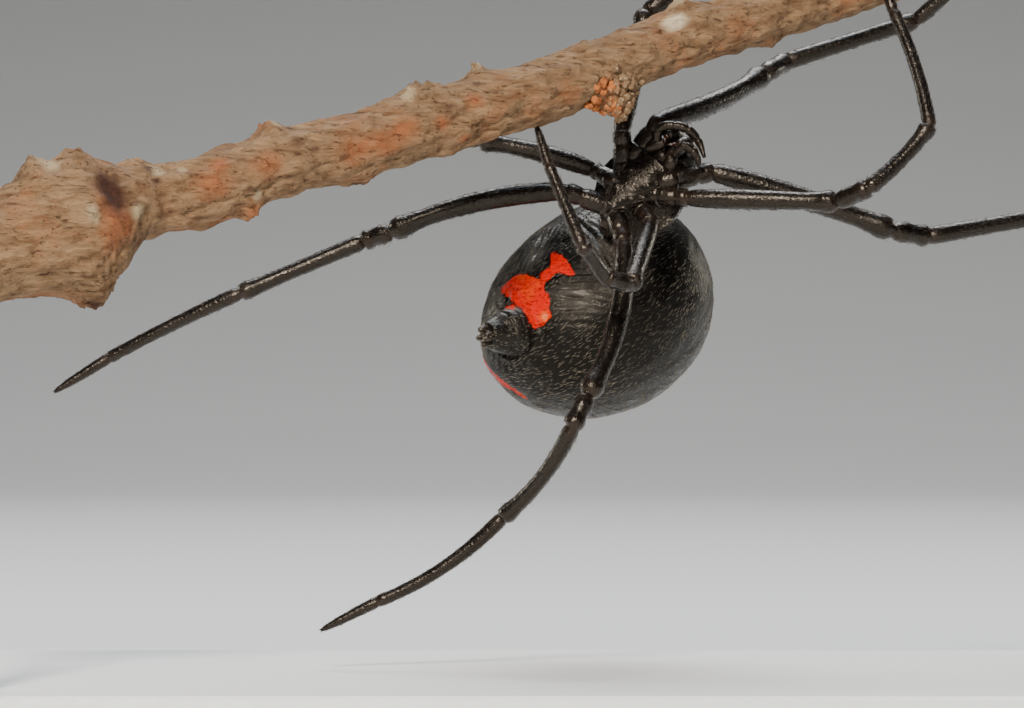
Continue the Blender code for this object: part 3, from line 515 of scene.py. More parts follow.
def shell(rings, tips=None, finish=0, **values):
    """A closed surface through rings of points, as arrays of corners, faces and corner values.

    Corner (row, column) joins to the next row and column, and each end is a fan to a tip, or to
    its ring's own middle.  The faces are turned to point outwards by the sign of the volume."""
    rings = np.asarray(rings, float)
    rows, columns = rings.shape[:2]
    ends = tips if tips is not None else (rings[0].mean(axis=0), rings[-1].mean(axis=0))
    points = np.vstack([rings.reshape(-1, 3), np.asarray(ends, float)])
    corner = np.arange(rows * columns).reshape(rows, columns)
    turned = np.roll(corner, -1, axis=1)
    quads = np.stack([corner[:-1], turned[:-1], turned[1:], corner[1:]], axis=-1).reshape(-1, 4)
    first = np.stack([turned[0], corner[0], np.full(columns, rows * columns)], axis=-1)
    last = np.stack([corner[-1], turned[-1], np.full(columns, rows * columns + 1)], axis=-1)
    threes = np.vstack([first, last])
    all_threes = np.vstack([threes, quads[:, [0, 1, 2]], quads[:, [0, 2, 3]]])
    a, b, c = (points[all_threes[:, i]] - points[0] for i in range(3))
    if np.einsum("ij,ij->", a, np.cross(b, c)) < 0:
        quads = quads[:, ::-1]
        threes = threes[:, ::-1]
    carried = {}
    for name, value in values.items():
        full = np.broadcast_to(np.asarray(value, float), (rows, columns))
        carried[name] = np.concatenate([full.reshape(-1), [full[0].mean(), full[-1].mean()]])
    return {"points": points, "quads": quads, "threes": threes, "values": carried, "finish": finish}


def new_object(name, data):
    """An object in the scene for a mesh, a light or a camera."""
    made = bpy.data.objects.new(name, data)
    bpy.context.scene.collection.objects.link(made)
    return made


def make_piece(name, shells, finishes, map_places=None):
    """An object from closed surfaces joined in one mesh, with their values as mesh attributes.

    The arrays go straight into the mesh.  A value that a surface lacks is zero there."""
    mesh = bpy.data.meshes.new(name)
    starts = np.cumsum([0] + [len(s["points"]) for s in shells])
    points = np.vstack([s["points"] for s in shells]) * MILLIMETRE
    parts = [
        (s[kind] + start, s["finish"]) for kind in ("quads", "threes") for s, start in zip(shells, starts)
    ]
    corners = np.concatenate([faces.reshape(-1) for faces, _ in parts]).astype(np.int32)
    sizes = np.concatenate([np.full(len(faces), faces.shape[1]) for faces, _ in parts]).astype(np.int32)
    kinds = np.concatenate([np.full(len(faces), finish) for faces, finish in parts]).astype(np.int32)
    mesh.vertices.add(len(points))
    mesh.vertices.foreach_set("co", points.astype(np.float32).reshape(-1))
    mesh.loops.add(len(corners))
    mesh.loops.foreach_set("vertex_index", corners)
    mesh.polygons.add(len(sizes))
    mesh.polygons.foreach_set("loop_start", (np.cumsum(sizes) - sizes).astype(np.int32))
    mesh.polygons.foreach_set("loop_total", sizes)
    mesh.polygons.foreach_set("material_index", kinds)
    mesh.polygons.foreach_set("use_smooth", np.ones(len(sizes), bool))
    mesh.update(calc_edges=True)
    for value in sorted({key for s in shells for key in s["values"]}):
        found = [s["values"].get(value, np.zeros(len(s["points"]))) for s in shells]
        attribute = mesh.attributes.new(value, "FLOAT", "POINT")
        attribute.data.foreach_set("value", np.concatenate(found).astype(np.float32))
    if map_places is not None:
        layer = mesh.uv_layers.new(name="OFBake")
        layer.data.foreach_set("uv", map_places[corners].astype(np.float32).reshape(-1))
    for finish in finishes:
        mesh.materials.append(finish)
    if mesh.validate():
        raise RuntimeError(f"{name} had faces that are not sound")
    return new_object(name, mesh)


def fit_piece(piece, nodes=()):
    """Puts a piece on the one body and hides the solids it stands for."""
    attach(piece, "root")
    if nodes:
        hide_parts(*nodes)
    return piece


def circles(middles, axes, radii, sides, like):
    """Rings about the middles, square to their axes or to one axis for all.

    A point of a ring is its middle plus the radius times the cosine across plus the sine up,
    and across is as like the way given as a direction square to the axis can be."""
    axes = np.broadcast_to(unit(axes), middles.shape)
    across = unit(like - axes * (axes @ like)[:, None])
    up = np.cross(axes, across)
    angle = full_turn(sides)[None, :, None]
    around = np.cos(angle) * across[:, None] + np.sin(angle) * up[:, None]
    return middles[:, None] + np.asarray(radii)[:, None, None] * around


def least_used_way(steps):
    """The direction that a path's steps have least of, for turning rings without a twist."""
    return np.linalg.svd(np.asarray(steps, float))[2][-1]


def curved_tube(points, radii, sides, rings=40, necks=(), **values):
    """A closed tube on a smooth curve through a few points, with a radius at each point.

    It narrows by a bell-shaped neck at each of the places given, counted in points, and a
    tube with necks takes their share as its joint value too."""
    at = np.linspace(0, len(points) - 1, rings)
    stations = np.arange(len(points))
    points = np.asarray(points, float)
    middles = np.stack([smooth_curve(stations, column, at) for column in points.T], axis=-1)
    sizes = np.maximum(smooth_curve(stations, radii, at), THINNEST_TUBE)
    if len(necks):
        share = bell(np.abs(at[:, None] - necks).min(axis=1), NECK_WIDTH)
        sizes = sizes * (1 - NECK_DEPTH * share)
        values["joint"] = share[:, None] + values["joint"]
    ways = np.gradient(middles, axis=0)
    return shell(circles(middles, ways, sizes, sides, least_used_way(ways)), **values)


def grid_normals(rings):
    """Outward unit normals of a grid of closed rings, from the cross product of its two slopes."""
    rings = np.asarray(rings, float)
    wrapped = np.concatenate([rings[:, -1:], rings, rings[:, :1]], axis=1)
    along = np.gradient(rings, axis=0)
    around = np.gradient(wrapped, axis=1)[:, 1:-1]
    normals = unit(np.cross(along, around))
    outward = np.einsum("ijk,ijk->", normals, rings - rings.mean(axis=1, keepdims=True))
    return normals if outward > 0 else -normals


def scatter(rings, density, count, rng):
    """Random places on a grid of rings, as many per area as the density asks.

    A cell is drawn by its area times its density, and a place in it is drawn evenly.  Returns
    the row and column of each place as fractions of a cell."""
    along = rings[1:] - rings[:-1]
    around = np.roll(rings, -1, axis=1)[:-1] - rings[:-1]
    density = np.broadcast_to(density, rings.shape[:2])[:-1]
    weight = (np.linalg.norm(np.cross(along, around), axis=-1) * density).reshape(-1)
    cells = rng.choice(weight.size, size=count, p=weight / weight.sum())
    rows, columns = np.divmod(cells, rings.shape[1])
    return rows + rng.uniform(size=count), columns + rng.uniform(size=count)


def read_grid(grid, rows, columns):
    """Values of a grid at fractional rows and columns, mixed from the four corners round each."""
    grid = np.asarray(grid, float)
    i = np.clip(rows.astype(int), 0, grid.shape[0] - 2)
    j = columns.astype(int) % grid.shape[1]
    k = (j + 1) % grid.shape[1]
    shape = (-1,) + (1,) * (grid.ndim - 2)
    a = (rows - i).reshape(shape)
    b = (columns - columns.astype(int)).reshape(shape)
    here = (1 - b) * grid[i, j] + b * grid[i, k]
    next_row = (1 - b) * grid[i + 1, j] + b * grid[i + 1, k]
    return (1 - a) * here + a * next_row


def spikes(roots, normals, lies, lengths, radii, lift, places, **values):
    """Closed three-sided hairs: a buried ring, a middle ring and a tip that bends to the skin.

    The lower half leaves at the lift angle above the lie and the upper half at a third of it.
    Each hair's map place is a patch three thousandths across at its root's place."""
    count = len(roots)
    lies = unit(lies - normals * np.einsum("ij,ij->i", lies, normals)[:, None])
    side = np.cross(lies, normals)
    lift = lift[:, None]
    low = lies * np.cos(lift) + normals * np.sin(lift)
    high = lies * np.cos(lift / 3) + normals * np.sin(lift / 3)
    lengths = lengths[:, None]
    middle = roots + low * lengths * 0.5
    tip = middle + high * lengths * 0.5
    buried = roots - low * HAIR_BURIED
    third = full_turn(3)[None, :, None]
    spread = np.cos(third) * side[:, None] + np.sin(third) * normals[:, None]
    spread = spread * radii[:, None, None]
    rings = [buried[:, None] + spread, middle[:, None] + spread * 0.75, tip[:, None]]
    corners = np.concatenate(rings, axis=1)
    base = (np.arange(count) * 7)[:, None, None]
    quads = base + np.array([[3, 4, 1, 0], [4, 5, 2, 1], [5, 3, 0, 2]])
    threes = base + np.array([[6, 4, 3], [6, 5, 4], [6, 3, 5], [0, 1, 2]])
    patch = np.array([[0, 0], [1, 0], [0.5, 1], [0.2, 0.3], [0.8, 0.3], [0.5, 0.8], [0.5, 0.5]]) - 0.5
    map_places = (places[:, None] + MAP_PATCH * patch).reshape(-1, 2)
    carried = {name: np.repeat(value, 7) for name, value in values.items()}
    carried["along_hair"] = np.tile([0, 0, 0, 0.5, 0.5, 0.5, 1], count)
    return {
        "points": corners.reshape(-1, 3), "quads": quads.reshape(-1, 4), "threes": threes.reshape(-1, 3),
        "values": carried, "finish": 0, "places": map_places,
    }


def lay_hairs(
    kind, rings, count, rng, corner, extent, lies=None, density=1.0, length=1.0, width=1.0, **values
):
    """Hairs of one kind on a grid of rings, lying along it or as the lies say, and a little astray.

    Density, mean length, width and the hairs' own values are numbers or grids, read at the roots.
    The map has the grid's columns and rows across an oblong with this corner and extent."""
    rows, columns = scatter(rings, density, count, rng)

    def at_roots(grid, shape=rings.shape[:2]):
        """A grid's values, or one value for all, at the hairs' roots."""
        return read_grid(np.broadcast_to(grid, shape), rows, columns)

    lies = np.gradient(rings, axis=0) if lies is None else lies
    lies = unit(at_roots(lies, rings.shape))
    if HAIR_STRAY[kind]:
        lies = lies + HAIR_STRAY[kind] * rng.normal(size=lies.shape)
    drawn = {name: rng.uniform(*span, count) for name, span in HAIRS[kind].items()}
    lengths = at_roots(length) * drawn["length"]
    if "chance" in drawn:
        lengths = np.where(drawn["chance"] < LONG_HAIR_SHARE, LONG_HAIR, 1.0) * lengths
    places = np.stack([columns / rings.shape[1], rows / rings.shape[0]], axis=-1) * extent + corner
    return spikes(
        at_roots(rings, rings.shape), unit(at_roots(grid_normals(rings), rings.shape)), lies, lengths,
        at_roots(width) * drawn["radius"], np.radians(drawn["lift"]), places,
        **{name: at_roots(value) for name, value in values.items()},
    )


def make_coat(name, coats, finish):
    """One object of hairs from several lots, with the map that ties each hair to its root."""
    return make_piece(name, coats, [finish], np.vstack([c["places"] for c in coats]))


# Surfaces of the body


def branch_axis():
    """The branch's mean direction."""
    heights = np.array(BRANCH_HEIGHT)
    rise = (heights[-1, 1] - heights[0, 1]) / (heights[-1, 0] - heights[0, 0])
    return unit(np.array([1.0, BRANCH_SLOPE_Y, rise]))


def branch_middle(x):
    """Points of the branch's middle line at these places along X."""
    x = np.asarray(x, float)
    height = smooth_curve(*zip(*BRANCH_HEIGHT), x)
    return np.stack([x, BRANCH_SLOPE_Y * x + BRANCH_OFFSET_Y, height], axis=-1)


def branch_point(x, angle, radius):
    """A point at a place along the branch, an angle round it and a distance from its middle.

    It is the middle plus the distance times the cosine upward plus the sine to the viewer."""
    axis = branch_axis()
    up = unit(np.array([0.0, 0.0, 1.0]) - axis * axis[2])
    angle = np.radians(angle)[..., None]
    around = np.cos(angle) * up + np.sin(angle) * np.cross(axis, up)
    return branch_middle(x) + np.asarray(radius)[..., None] * around


def bark_radius(x, angle):
    """The smooth radius, and a bell-shaped lump added for each knot; angles in degrees."""
    radius = smooth_curve(*zip(*BRANCH_RADIUS), x) + 0 * angle
    for place, around, height, along, spread in BRANCH_KNOTS:
        radius = radius + height * bell(x - place, along) * bell(turn_between(around, angle), spread)
    return radius


def bark_patches(x, angle, patches):
    """Sum of soft round patches, each given by its place along X, its angle and its radius."""
    share = np.zeros(np.broadcast(x, angle).shape)
    for place, around, size in patches:
        share = share + bell(x - place, size) * bell(1.2 * np.radians(turn_between(around, angle)), size)
    return share


def leg_joints(leg):
    """The points where one leg's pieces meet, from its root to its tip."""
    points = [front_body_point((*HIP_ROOTS[leg], HIP_DEPTH))]
    for length, (bearing, tilt) in zip(LEG_LENGTHS[leg], LEG_POSES[leg]):
        points.append(points[-1] + length * direction(bearing, tilt))
    return np.array(points)


def eased(values, width, steps):
    """Values smoothed along their first axis by a bell-shaped weighted mean of this many.

    Before the first and after the last they go on by the two steps given."""
    reach = width // 2
    out = np.arange(1, reach + 1)[:, None]
    padded = np.vstack([values[:1] - out[::-1] * steps[0], values, values[-1:] + out * steps[1]])
    window = np.hanning(2 * reach + 3)[1:-1]
    window = window / window.sum()
    return np.stack([np.convolve(column, window, mode="valid") for column in padded.T], axis=-1)


def leg_surface(leg):
    """Rings of one leg, how near each ring is to a joint, and each ring's place along the leg.

    Each piece bows in a parabola from joint to joint.  The path and the radius are then eased
    by a weighted mean over a short length, so that the leg turns smoothly at its joints.  The
    profiles are drawn in by a thousandth at both ends, so that no two stations meet."""
    joints = leg_joints(leg)
    lengths = np.array(LEG_LENGTHS[leg])
    thigh = THIGH_RADIUS[int(leg[-1])]
    ways = unit(np.diff(joints, axis=0))
    ends = np.concatenate([[0.0], np.cumsum(lengths)])
    fine = np.linspace(0, ends[-1], LEG_STEPS)
    piece = np.clip(np.searchsorted(ends, fine, side="right") - 1, 0, len(ways) - 1)
    share = (fine - ends[piece]) / lengths[piece]
    thigh_bow, shin_bow, heel_bow = LEG_BOWS.get(leg, (0.0, 0.0, 0.0))
    bows = np.array([0.0, thigh_bow, 0.0, shin_bow, heel_bow, 0.0])[piece]
    aside = unit(np.cross(ways, (0.0, 1.0, 0.0)))[piece]
    path = joints[piece] + (fine - ends[piece])[:, None] * ways[piece]
    path = path + aside * (4 * bows * share * (1 - share))[:, None]
    path = eased(path, round(JOINT_BEND / fine[1]), fine[1] * ways[[0, -1]])
    stations = np.concatenate(
        [ends[i] + (np.array(p)[:, 0] * 0.998 + 0.001) * lengths[i] for i, p in enumerate(LEG_PROFILES)]
    )
    sizes = np.concatenate([np.array(p)[:, 1] for p in LEG_PROFILES]) * thigh
    radius = eased(np.interp(fine, stations, sizes)[:, None], RADIUS_EASING, np.zeros((2, 1)))[:, 0]
    share = (1 - np.cos(np.linspace(0, math.pi, LEG_RINGS, endpoint=False))) / 2
    at = np.concatenate([ends[i] + share * length for i, length in enumerate(lengths)] + [ends[-1:]])
    middles, axes = (
        np.stack([np.interp(at, fine, column) for column in points.T], axis=-1)
        for points in (path, np.gradient(path, axis=0))
    )
    rings = circles(middles, axes, np.interp(at, fine, radius), LEG_SIDES, least_used_way(ways))
    joint_places = np.concatenate([[HIP_CREASE * lengths[0]], ends[1:-1]])
    nearness = bell(np.abs(at[:, None] - joint_places).min(axis=1), JOINT_REACH)
    return rings, nearness, at / ends[-1], unit(axes)


def front_body_levels(forward):
    """Half width of the front body, and its height below, at its edge and at its top."""
    stations = FRONT_BODY_STATIONS
    half_width = smooth_curve(stations, HALF_WIDTH, forward)
    top = smooth_curve(stations, TOP_HEIGHT, forward)
    under = smooth_curve(stations, UNDERSIDE_HEIGHT, forward)
    edge = np.maximum(under + 0.05, np.minimum(SHIELD_EDGE, top - 0.25))
    return half_width, under, np.where(forward > FACE_START, (top + under) / 2, edge), top


def front_body_rings(rows=100, columns=96):
    """Rings of the front body: a domed shield above its edge, hollow flanks for the hips below it.

    Each ring is two halves of a superellipse.  Above the edge its power is a little over two, a
    dome; below it is under one, so the flank is hollow.  The fovea is a bell-shaped dent,
    shallow furrows run out from it as a wave in the angle about it, and a groove bounds the head."""
    forward = np.linspace(FRONT_BODY_STATIONS[0], FRONT_BODY_STATIONS[-1], rows)[:, None]
    half_width, under, edge, top = front_body_levels(forward)
    angle = full_turn(columns)
    cos, sin = np.cos(angle), np.sin(angle)
    power = np.where((sin < 0) & (forward < FACE_START), 2 / FLANK_POWER, 2 / DOME_POWER)
    left = half_width * np.sign(cos) * np.abs(cos) ** power
    reach = np.where(sin > 0, top - edge, edge - under)
    height = edge + reach * np.sign(sin) * np.abs(sin) ** power
    ahead = forward - FOVEA["forward"]
    dent = FOVEA["depth"] * bell(ahead, FOVEA["length"]) * bell(left, FOVEA["width"])
    out = np.hypot(ahead, left)
    furrow = (np.cos(FURROWS["number"] * np.arctan2(left, ahead)) - 0.3) * FURROWS["depth"]
    furrow = furrow * bell(out - FURROWS["out"], FURROWS["spread"])
    groove = bell(ahead - GROOVE["ahead"] - GROOVE["slope"] * np.abs(left), GROOVE["width"])
    groove = groove * GROOVE["depth"] * bell(left, 1.0)
    height = height - np.where(sin > 0, (dent + groove - furrow) * sin, 0)
    return front_body_point(np.stack([forward + 0 * left, left, -height], axis=-1))


def breast_rings(rows=90, columns=96):
    """Rings of the breast plate: a heart-shaped outline with a point between each two hips.

    Each ring is a thin lens.  Its upper face is a low dome with a raised rim near the border,
    and low lumps stand opposite the hips."""
    outline = np.array(BREAST_OUTLINE)
    forward = np.linspace(outline[0, 0], outline[-1, 0], rows)[:, None]
    half_width = smooth_curve(outline[:, 0], outline[:, 1], forward)
    for place in BREAST_POINTS:
        half_width = half_width + BREAST_POINT["out"] * bell(forward - place, BREAST_POINT["width"])
    angle = full_turn(columns)
    share = np.cos(angle)
    left = half_width * share
    end = np.clip((forward - outline[0, 0]) / BREAST_DOME["rear_fade"], 0, 1)
    end = end * np.clip((outline[-1, 0] - forward) / BREAST_DOME["front_fade"], 0, 1)
    depth = BREAST_DOME["height"] * (1 - (left / BREAST_DOME["half_width"]) ** 2) * end
    rim, lumps = (
        part["height"] * bell(np.abs(share) - part["place"], part["width"]) * end
        for part in (BREAST_RIM, BREAST_LUMPS)
    )
    lumps = lumps * np.cos((forward - BREAST_LUMPS["first"]) * 2 * math.pi / BREAST_LUMPS["apart"])
    upper = depth * np.sqrt(np.abs(np.sin(angle))) + rim + lumps
    below = np.where(np.sin(angle) > 0, upper, BREAST_THICKNESS * np.sin(angle))
    return front_body_point(np.stack([forward + 0 * left, left, below], axis=-1))


def eye_places():
    """Middle and radius of each eye, by name, on the shield's front."""
    places = {}
    for name, (forward, left, radius) in EYES.items():
        half_width, _, edge, top = front_body_levels(forward)
        height = edge + (top - edge) * (1 - (left / half_width) ** DOME_POWER) ** (1 / DOME_POWER)
        for side, sign in (("left", 1), ("right", -1)):
            places[f"eye_{name}_{side}"] = (np.array([forward, sign * left, -height]), radius)
    return places


def ellipsoid_rings(middle, half_sizes, axes, rows=24, columns=32):
    """Rings and tips of an ellipsoid with its half sizes along three axes."""
    angle = np.linspace(0, math.pi, rows + 1)[1:-1][:, None]
    turn = full_turn(columns)
    across, up = np.sin(angle) * np.cos(turn), np.sin(angle) * np.sin(turn)
    ball = np.stack([np.cos(angle) + 0 * turn, across, up], axis=-1)
    return middle + (ball * half_sizes) @ axes, [middle + end * half_sizes[0] * axes[0] for end in (1, -1)]


def abdomen_local(along, around):
    """Points of the abdomen in its own axes: a ball stretched by its half sizes.

    It is deeper in front and flatter below.  The first angle runs from the front end to the rear
    end and the second round the body, from the left side through the belly."""
    along, around = np.asarray(along, float), np.asarray(around, float)
    cos, sin = np.cos(along), np.sin(along)
    width = ABDOMEN_HALF_WIDTH * (1 + ABDOMEN_FRONT_WIDER * cos) * sin
    deeper = 1 + ABDOMEN_FRONT_DEEPER * cos
    below = ABDOMEN_DEPTH_BELOW * deeper * sin**ABDOMEN_FLATNESS
    above = ABDOMEN_DEPTH_ABOVE * deeper * sin
    depth = np.where(np.sin(around) > 0, below, above) * np.sin(around)
    return np.stack([ABDOMEN_HALF_LENGTH * cos + 0 * around, width * np.cos(around), depth], axis=-1)


def abdomen_surface(along, around):
    """Points of the abdomen in the model's own axes."""
    return np.array(ABDOMEN_MIDDLE) + abdomen_local(along, around) @ ABDOMEN_AXES


def belly_point(along, around=90.0):
    """A point on the belly, and the outward direction there, from two angles in degrees."""
    steps = np.radians([-1.0, 0.0, 1.0])
    along, around = math.radians(along), math.radians(around)
    before, here, after = abdomen_surface(along + steps, np.full(3, around))
    left, _, right = abdomen_surface(np.full(3, along), around + steps)
    outward = unit(np.cross(after - before, right - left))
    return here, outward if outward @ (here - np.array(ABDOMEN_MIDDLE)) > 0 else -outward


def outline_distance(forward, left, outline):
    """Distance from each place to a closed outline, below zero inside it.

    It is the least distance to any edge, and a place is inside where a ray to one side crosses
    an odd number of edges."""
    start = np.array(outline, float)
    end = np.roll(start, -1, axis=0)
    edge = end - start
    x = forward[..., None] - start[:, 0]
    y = left[..., None] - start[:, 1]
    t = np.clip((x * edge[:, 0] + y * edge[:, 1]) / (edge**2).sum(axis=1), 0, 1)
    gap = np.hypot(x - t * edge[:, 0], y - t * edge[:, 1]).min(axis=-1)
    straddles = (x < 0) != (x < edge[:, 0])
    crossing = straddles & (y < edge[:, 1] * x / np.where(edge[:, 0] == 0, 1e-9, edge[:, 0]))
    return np.where(crossing.sum(axis=-1) % 2 == 1, -gap, gap)


def band_distance(points, line):
    """Distance to a band about a line of points, each with the band's half width there."""
    nearest = np.full(points.shape[:-1], 9.0)
    for start, end in zip(np.array(line)[:-1], np.array(line)[1:]):
        step = end[:3] - start[:3]
        t = np.clip((points - start[:3]) @ step / (step @ step), 0, 1)
        gap = np.linalg.norm(points - start[:3] - t[..., None] * step, axis=-1)
        nearest = np.minimum(nearest, gap - start[3] - t * (end[3] - start[3]))
    return nearest


def red_marks(local):
    """Signed distance in millimetres to the red marks, at points in the abdomen's own axes."""
    forward, left, below = np.moveaxis(local, -1, 0)
    belly = np.minimum(*(outline_distance(forward, left, mark) for mark in (HOURGLASS, RED_SPOT)))
    bands = np.minimum(*(band_distance(local, mark) for mark in (REAR_BAND, BACK_SPOTS)))
    return np.minimum(np.where(below > 0.4, belly, UNMARKED), bands)


def slit_place(forward, left, sign):
    """Place along and across one of the belly's two slits, and the distance from its middle."""
    ahead, aside = forward - SLIT_MIDDLE[0], sign * left - SLIT_MIDDLE[1]
    turn = math.radians(SLIT_TURN)
    along_slit = ahead * math.cos(turn) + aside * math.sin(turn)
    across_slit = aside * math.cos(turn) - ahead * math.sin(turn)
    return along_slit, across_slit, np.hypot(ahead, aside)


def painted_sheen_share(local):
    """Share of paler skin, a painted sheen: round the two slits, and across the front of the belly."""
    forward, left, below = np.moveaxis(local, -1, 0)
    share = bell(forward - FRONT_PAINTED_SHEEN["place"] + FURROW_BOW * left**2, FRONT_PAINTED_SHEEN["spread"])
    share = FRONT_PAINTED_SHEEN["share"] * share * bell(left, FRONT_PAINTED_SHEEN["aside"])
    for sign in (1, -1):
        along_slit, across_slit, _ = slit_place(forward, left, sign)
        share = share + bell(along_slit, SLIT["painted_sheen_along"]) * bell(across_slit, SLIT["painted_sheen_across"])
    return np.where(below > 0, share, 0)


def abdomen_relief(local):
    """How far the skin stands out from the smooth abdomen, in millimetres.

    Wrinkles are cosines faded by bells, pits are bells, and fine folds are ripples: two slits
    with a pair of lips each, furrows across the front of the belly, a ring round the spinnerets,
    and pairs of pits along the back."""
    forward, left, below = np.moveaxis(local, -1, 0)
    belly = np.clip(below / RELIEF_FULL, 0, 1)
    back = np.clip(-below / RELIEF_FULL, 0, 1)
    size = SKIN_RELIEF
    fine, broad, uneven = (ripples(local, *SKIN_RIPPLES[name]) for name in ("fine", "broad", "furrows"))
    relief = size["fine"] * fine + size["broad"] * broad
    for sign in (1, -1):
        along_slit, across_slit, out = slit_place(forward, left, sign)
        lips = bell(np.abs(across_slit) - SLIT_LIPS["apart"], SLIT_LIPS["width"])
        lips = size["lips"] * lips * bell(along_slit, SLIT_LIPS["length"])
        folds = np.cos(across_slit * 2 * math.pi / FOLD_SPACING + 0.8 * np.sin(3 * along_slit))
        folds = size["folds"] * folds * bell(out, SLIT["folds"])
        slit = size["slit"] * bell(across_slit, SLIT["width"]) * bell(along_slit, SLIT["length"])
        relief = relief + belly * (lips + folds - slit - size["hollow"] * bell(out, SLIT["hollow"]))
        for place, apart in BACK_PITS:
            gap = np.hypot(forward - place, left - sign * apart)
            pit = size["pit"] * bell(gap, BACK_PIT["width"]) + size["pit_edge"] * bell(gap, BACK_PIT["edge"])
            relief = relief - back * pit
    curve = forward - FRONT_FURROWS["place"] + FURROW_BOW * left**2
    furrows = np.cos(curve * 2 * math.pi / FOLD_SPACING + 2.5 * uneven) * size["furrows"]
    furrows = furrows * bell(curve, FRONT_FURROWS["spread"]) * bell(left, FRONT_FURROWS["aside"])
    deepest = size["front_furrow"] * bell(curve - DEEPEST_FURROW["place"], DEEPEST_FURROW["spread"])
    relief = relief + belly * (furrows - deepest * bell(left, DEEPEST_FURROW["aside"]))
    centre = abdomen_local(math.radians(SPINNERET_ANGLE), math.radians(SPINNERET_AROUND))
    ring = np.linalg.norm(local - centre, axis=-1)
    folds = np.cos(RING_FOLDS["number"] * np.arctan2(left - centre[1], forward - centre[0]))
    relief = relief + size["ring"] * bell(ring - SPINNERET_RING["radius"], SPINNERET_RING["width"])
    return relief + size["ring_folds"] * folds * bell(ring - RING_FOLDS["radius"], RING_FOLDS["width"])


# Finishes


class Finish:
    """A Principled material and short ways to add nodes to it."""

    def __init__(self, name, **sockets):
        self.material = bpy.data.materials.new(name)
        self.material.use_nodes = True
        self.tree = self.material.node_tree
        self.surface(**sockets)

    def surface(self, **sockets):
        """Sets sockets of the material's shader, named in small letters, and gives the material."""
        shader = self.tree.nodes["Principled BSDF"]
        for socket, value in sockets.items():
            self.put(shader, socket.replace("_", " ").title().replace("Ior", "IOR"), value)
        return self.material

    def put(self, node, socket, value):
        """Links an output to a socket, or sets the socket to a plain value."""
        target = node.inputs[socket]
        if isinstance(value, bpy.types.NodeSocket):
            self.tree.links.new(value, target)
        elif target.type == "RGBA":
            target.default_value = (*value, 1.0)
        else:
            target.default_value = value

    def add(self, kind, output=0, sockets=None, **settings):
        """Adds a node, sets it up, and gives back one of its outputs."""
        node = self.tree.nodes.new(kind)
        for key, value in settings.items():
            setattr(node, key, value)
        for socket, value in (sockets or {}).items():
            self.put(node, socket, value)
        return node.outputs[output]

    def place(self, scale=(1.0, 1.0, 1.0), turn=(0.0, 0.0, 0.0)):
        """Object coordinates, turned and stretched."""
        spot = self.add("ShaderNodeTexCoord", "Object")
        return self.add("ShaderNodeMapping", 0, {"Vector": spot, "Scale": scale, "Rotation": turn})

    def noise(self, spot, per_metre, detail=4.0, roughness=0.55, distortion=0.0):
        """Soft noise from 0 to 1."""
        sockets = {"Vector": spot, "Scale": per_metre, "Detail": detail}
        sockets.update({"Roughness": roughness, "Distortion": distortion})
        return self.add("ShaderNodeTexNoise", "Fac", sockets)

    def cells(self, spot, per_metre):
        """Distance to the nearest of many scattered points."""
        return self.add("ShaderNodeTexVoronoi", "Distance", {"Vector": spot, "Scale": per_metre})

    def value(self, name):
        """One of the mesh's own values."""
        return self.add("ShaderNodeAttribute", "Fac", attribute_name=name)

    def math(self, operation, a, b):
        """Two numbers put together by a named operation."""
        return self.add("ShaderNodeMath", 0, {0: a, 1: b}, operation=operation)

    def sum(self, a, b):
        """Two numbers added."""
        return self.math("ADD", a, b)

    def product(self, a, b):
        """Two numbers multiplied."""
        return self.math("MULTIPLY", a, b)

    def difference(self, a, b):
        """The second number taken from the first."""
        return self.math("SUBTRACT", a, b)

    def between(self, value, low, high, to_low=0.0, to_high=1.0):
        """A number spread from one range to another, and held within it."""
        sockets = {"Value": value, "From Min": low, "From Max": high, "To Min": to_low, "To Max": to_high}
        return self.add("ShaderNodeMapRange", 0, sockets)

    def mix(self, share, a, b):
        """A colour part of the way from one to another."""
        return self.add("ShaderNodeMix", 2, {0: share, 6: a, 7: b}, data_type="RGBA")

    def cover(self, colour, other, value, low, high, most=1.0):
        """A colour covered by another, from none of it at the low value to most at the high."""
        return self.mix(self.between(value, low, high, 0.0, most), colour, other)

    def bump(self, height, distance, strength=1.0, under=None):
        """A surface roughened by a height, over another if one is given."""
        sockets = {"Height": height, "Distance": distance, "Strength": strength}
        if under is not None:
            sockets["Normal"] = under
        return self.add("ShaderNodeBump", 0, sockets)


def scaled(colour, times):
    """A colour made this many times as bright."""
    return [times * part for part in colour]


def cuticle_finish(name, base, joint, roughness=0.27, grain=1.0, sheen=0.4):
    """Hard glossy cuticle, dark, redder at the joints, with fine grains and shallow dents."""
    finish = Finish(name, specular_tint=(1.0, 0.86, 0.7))
    spot = finish.place()
    clouds = finish.noise(spot, 1800)
    red = finish.product(finish.value("joint"), finish.between(clouds, 0.3, 0.65, 0.5, 1.0))
    fine = finish.noise(spot, 16000, 3)
    dents = finish.bump(finish.cells(spot, 9000), 0.00002 * grain, 0.5)
    return finish.surface(
        base_color=finish.cover(finish.mix(red, base, joint), joint, fine, 0.5, 0.75, 0.3),
        roughness=finish.between(clouds, 0.35, 0.7, roughness - 0.08, roughness + 0.08),
        specular_ior_level=finish.between(finish.value("seam"), 0.1, 0.7, sheen, 0.02),
        normal=finish.bump(fine, 0.000018 * grain, 0.8, dents),
    )


def red_share(finish, spot):
    """Share of red from the signed distance to the marks, its edge made uneven by noise."""
    noise = finish.difference(finish.noise(spot, 5200, 5, 0.65), 0.5)
    edge = finish.sum(finish.value("mark"), finish.product(noise, 0.36))
    return finish.between(edge, 0.025, -0.025)


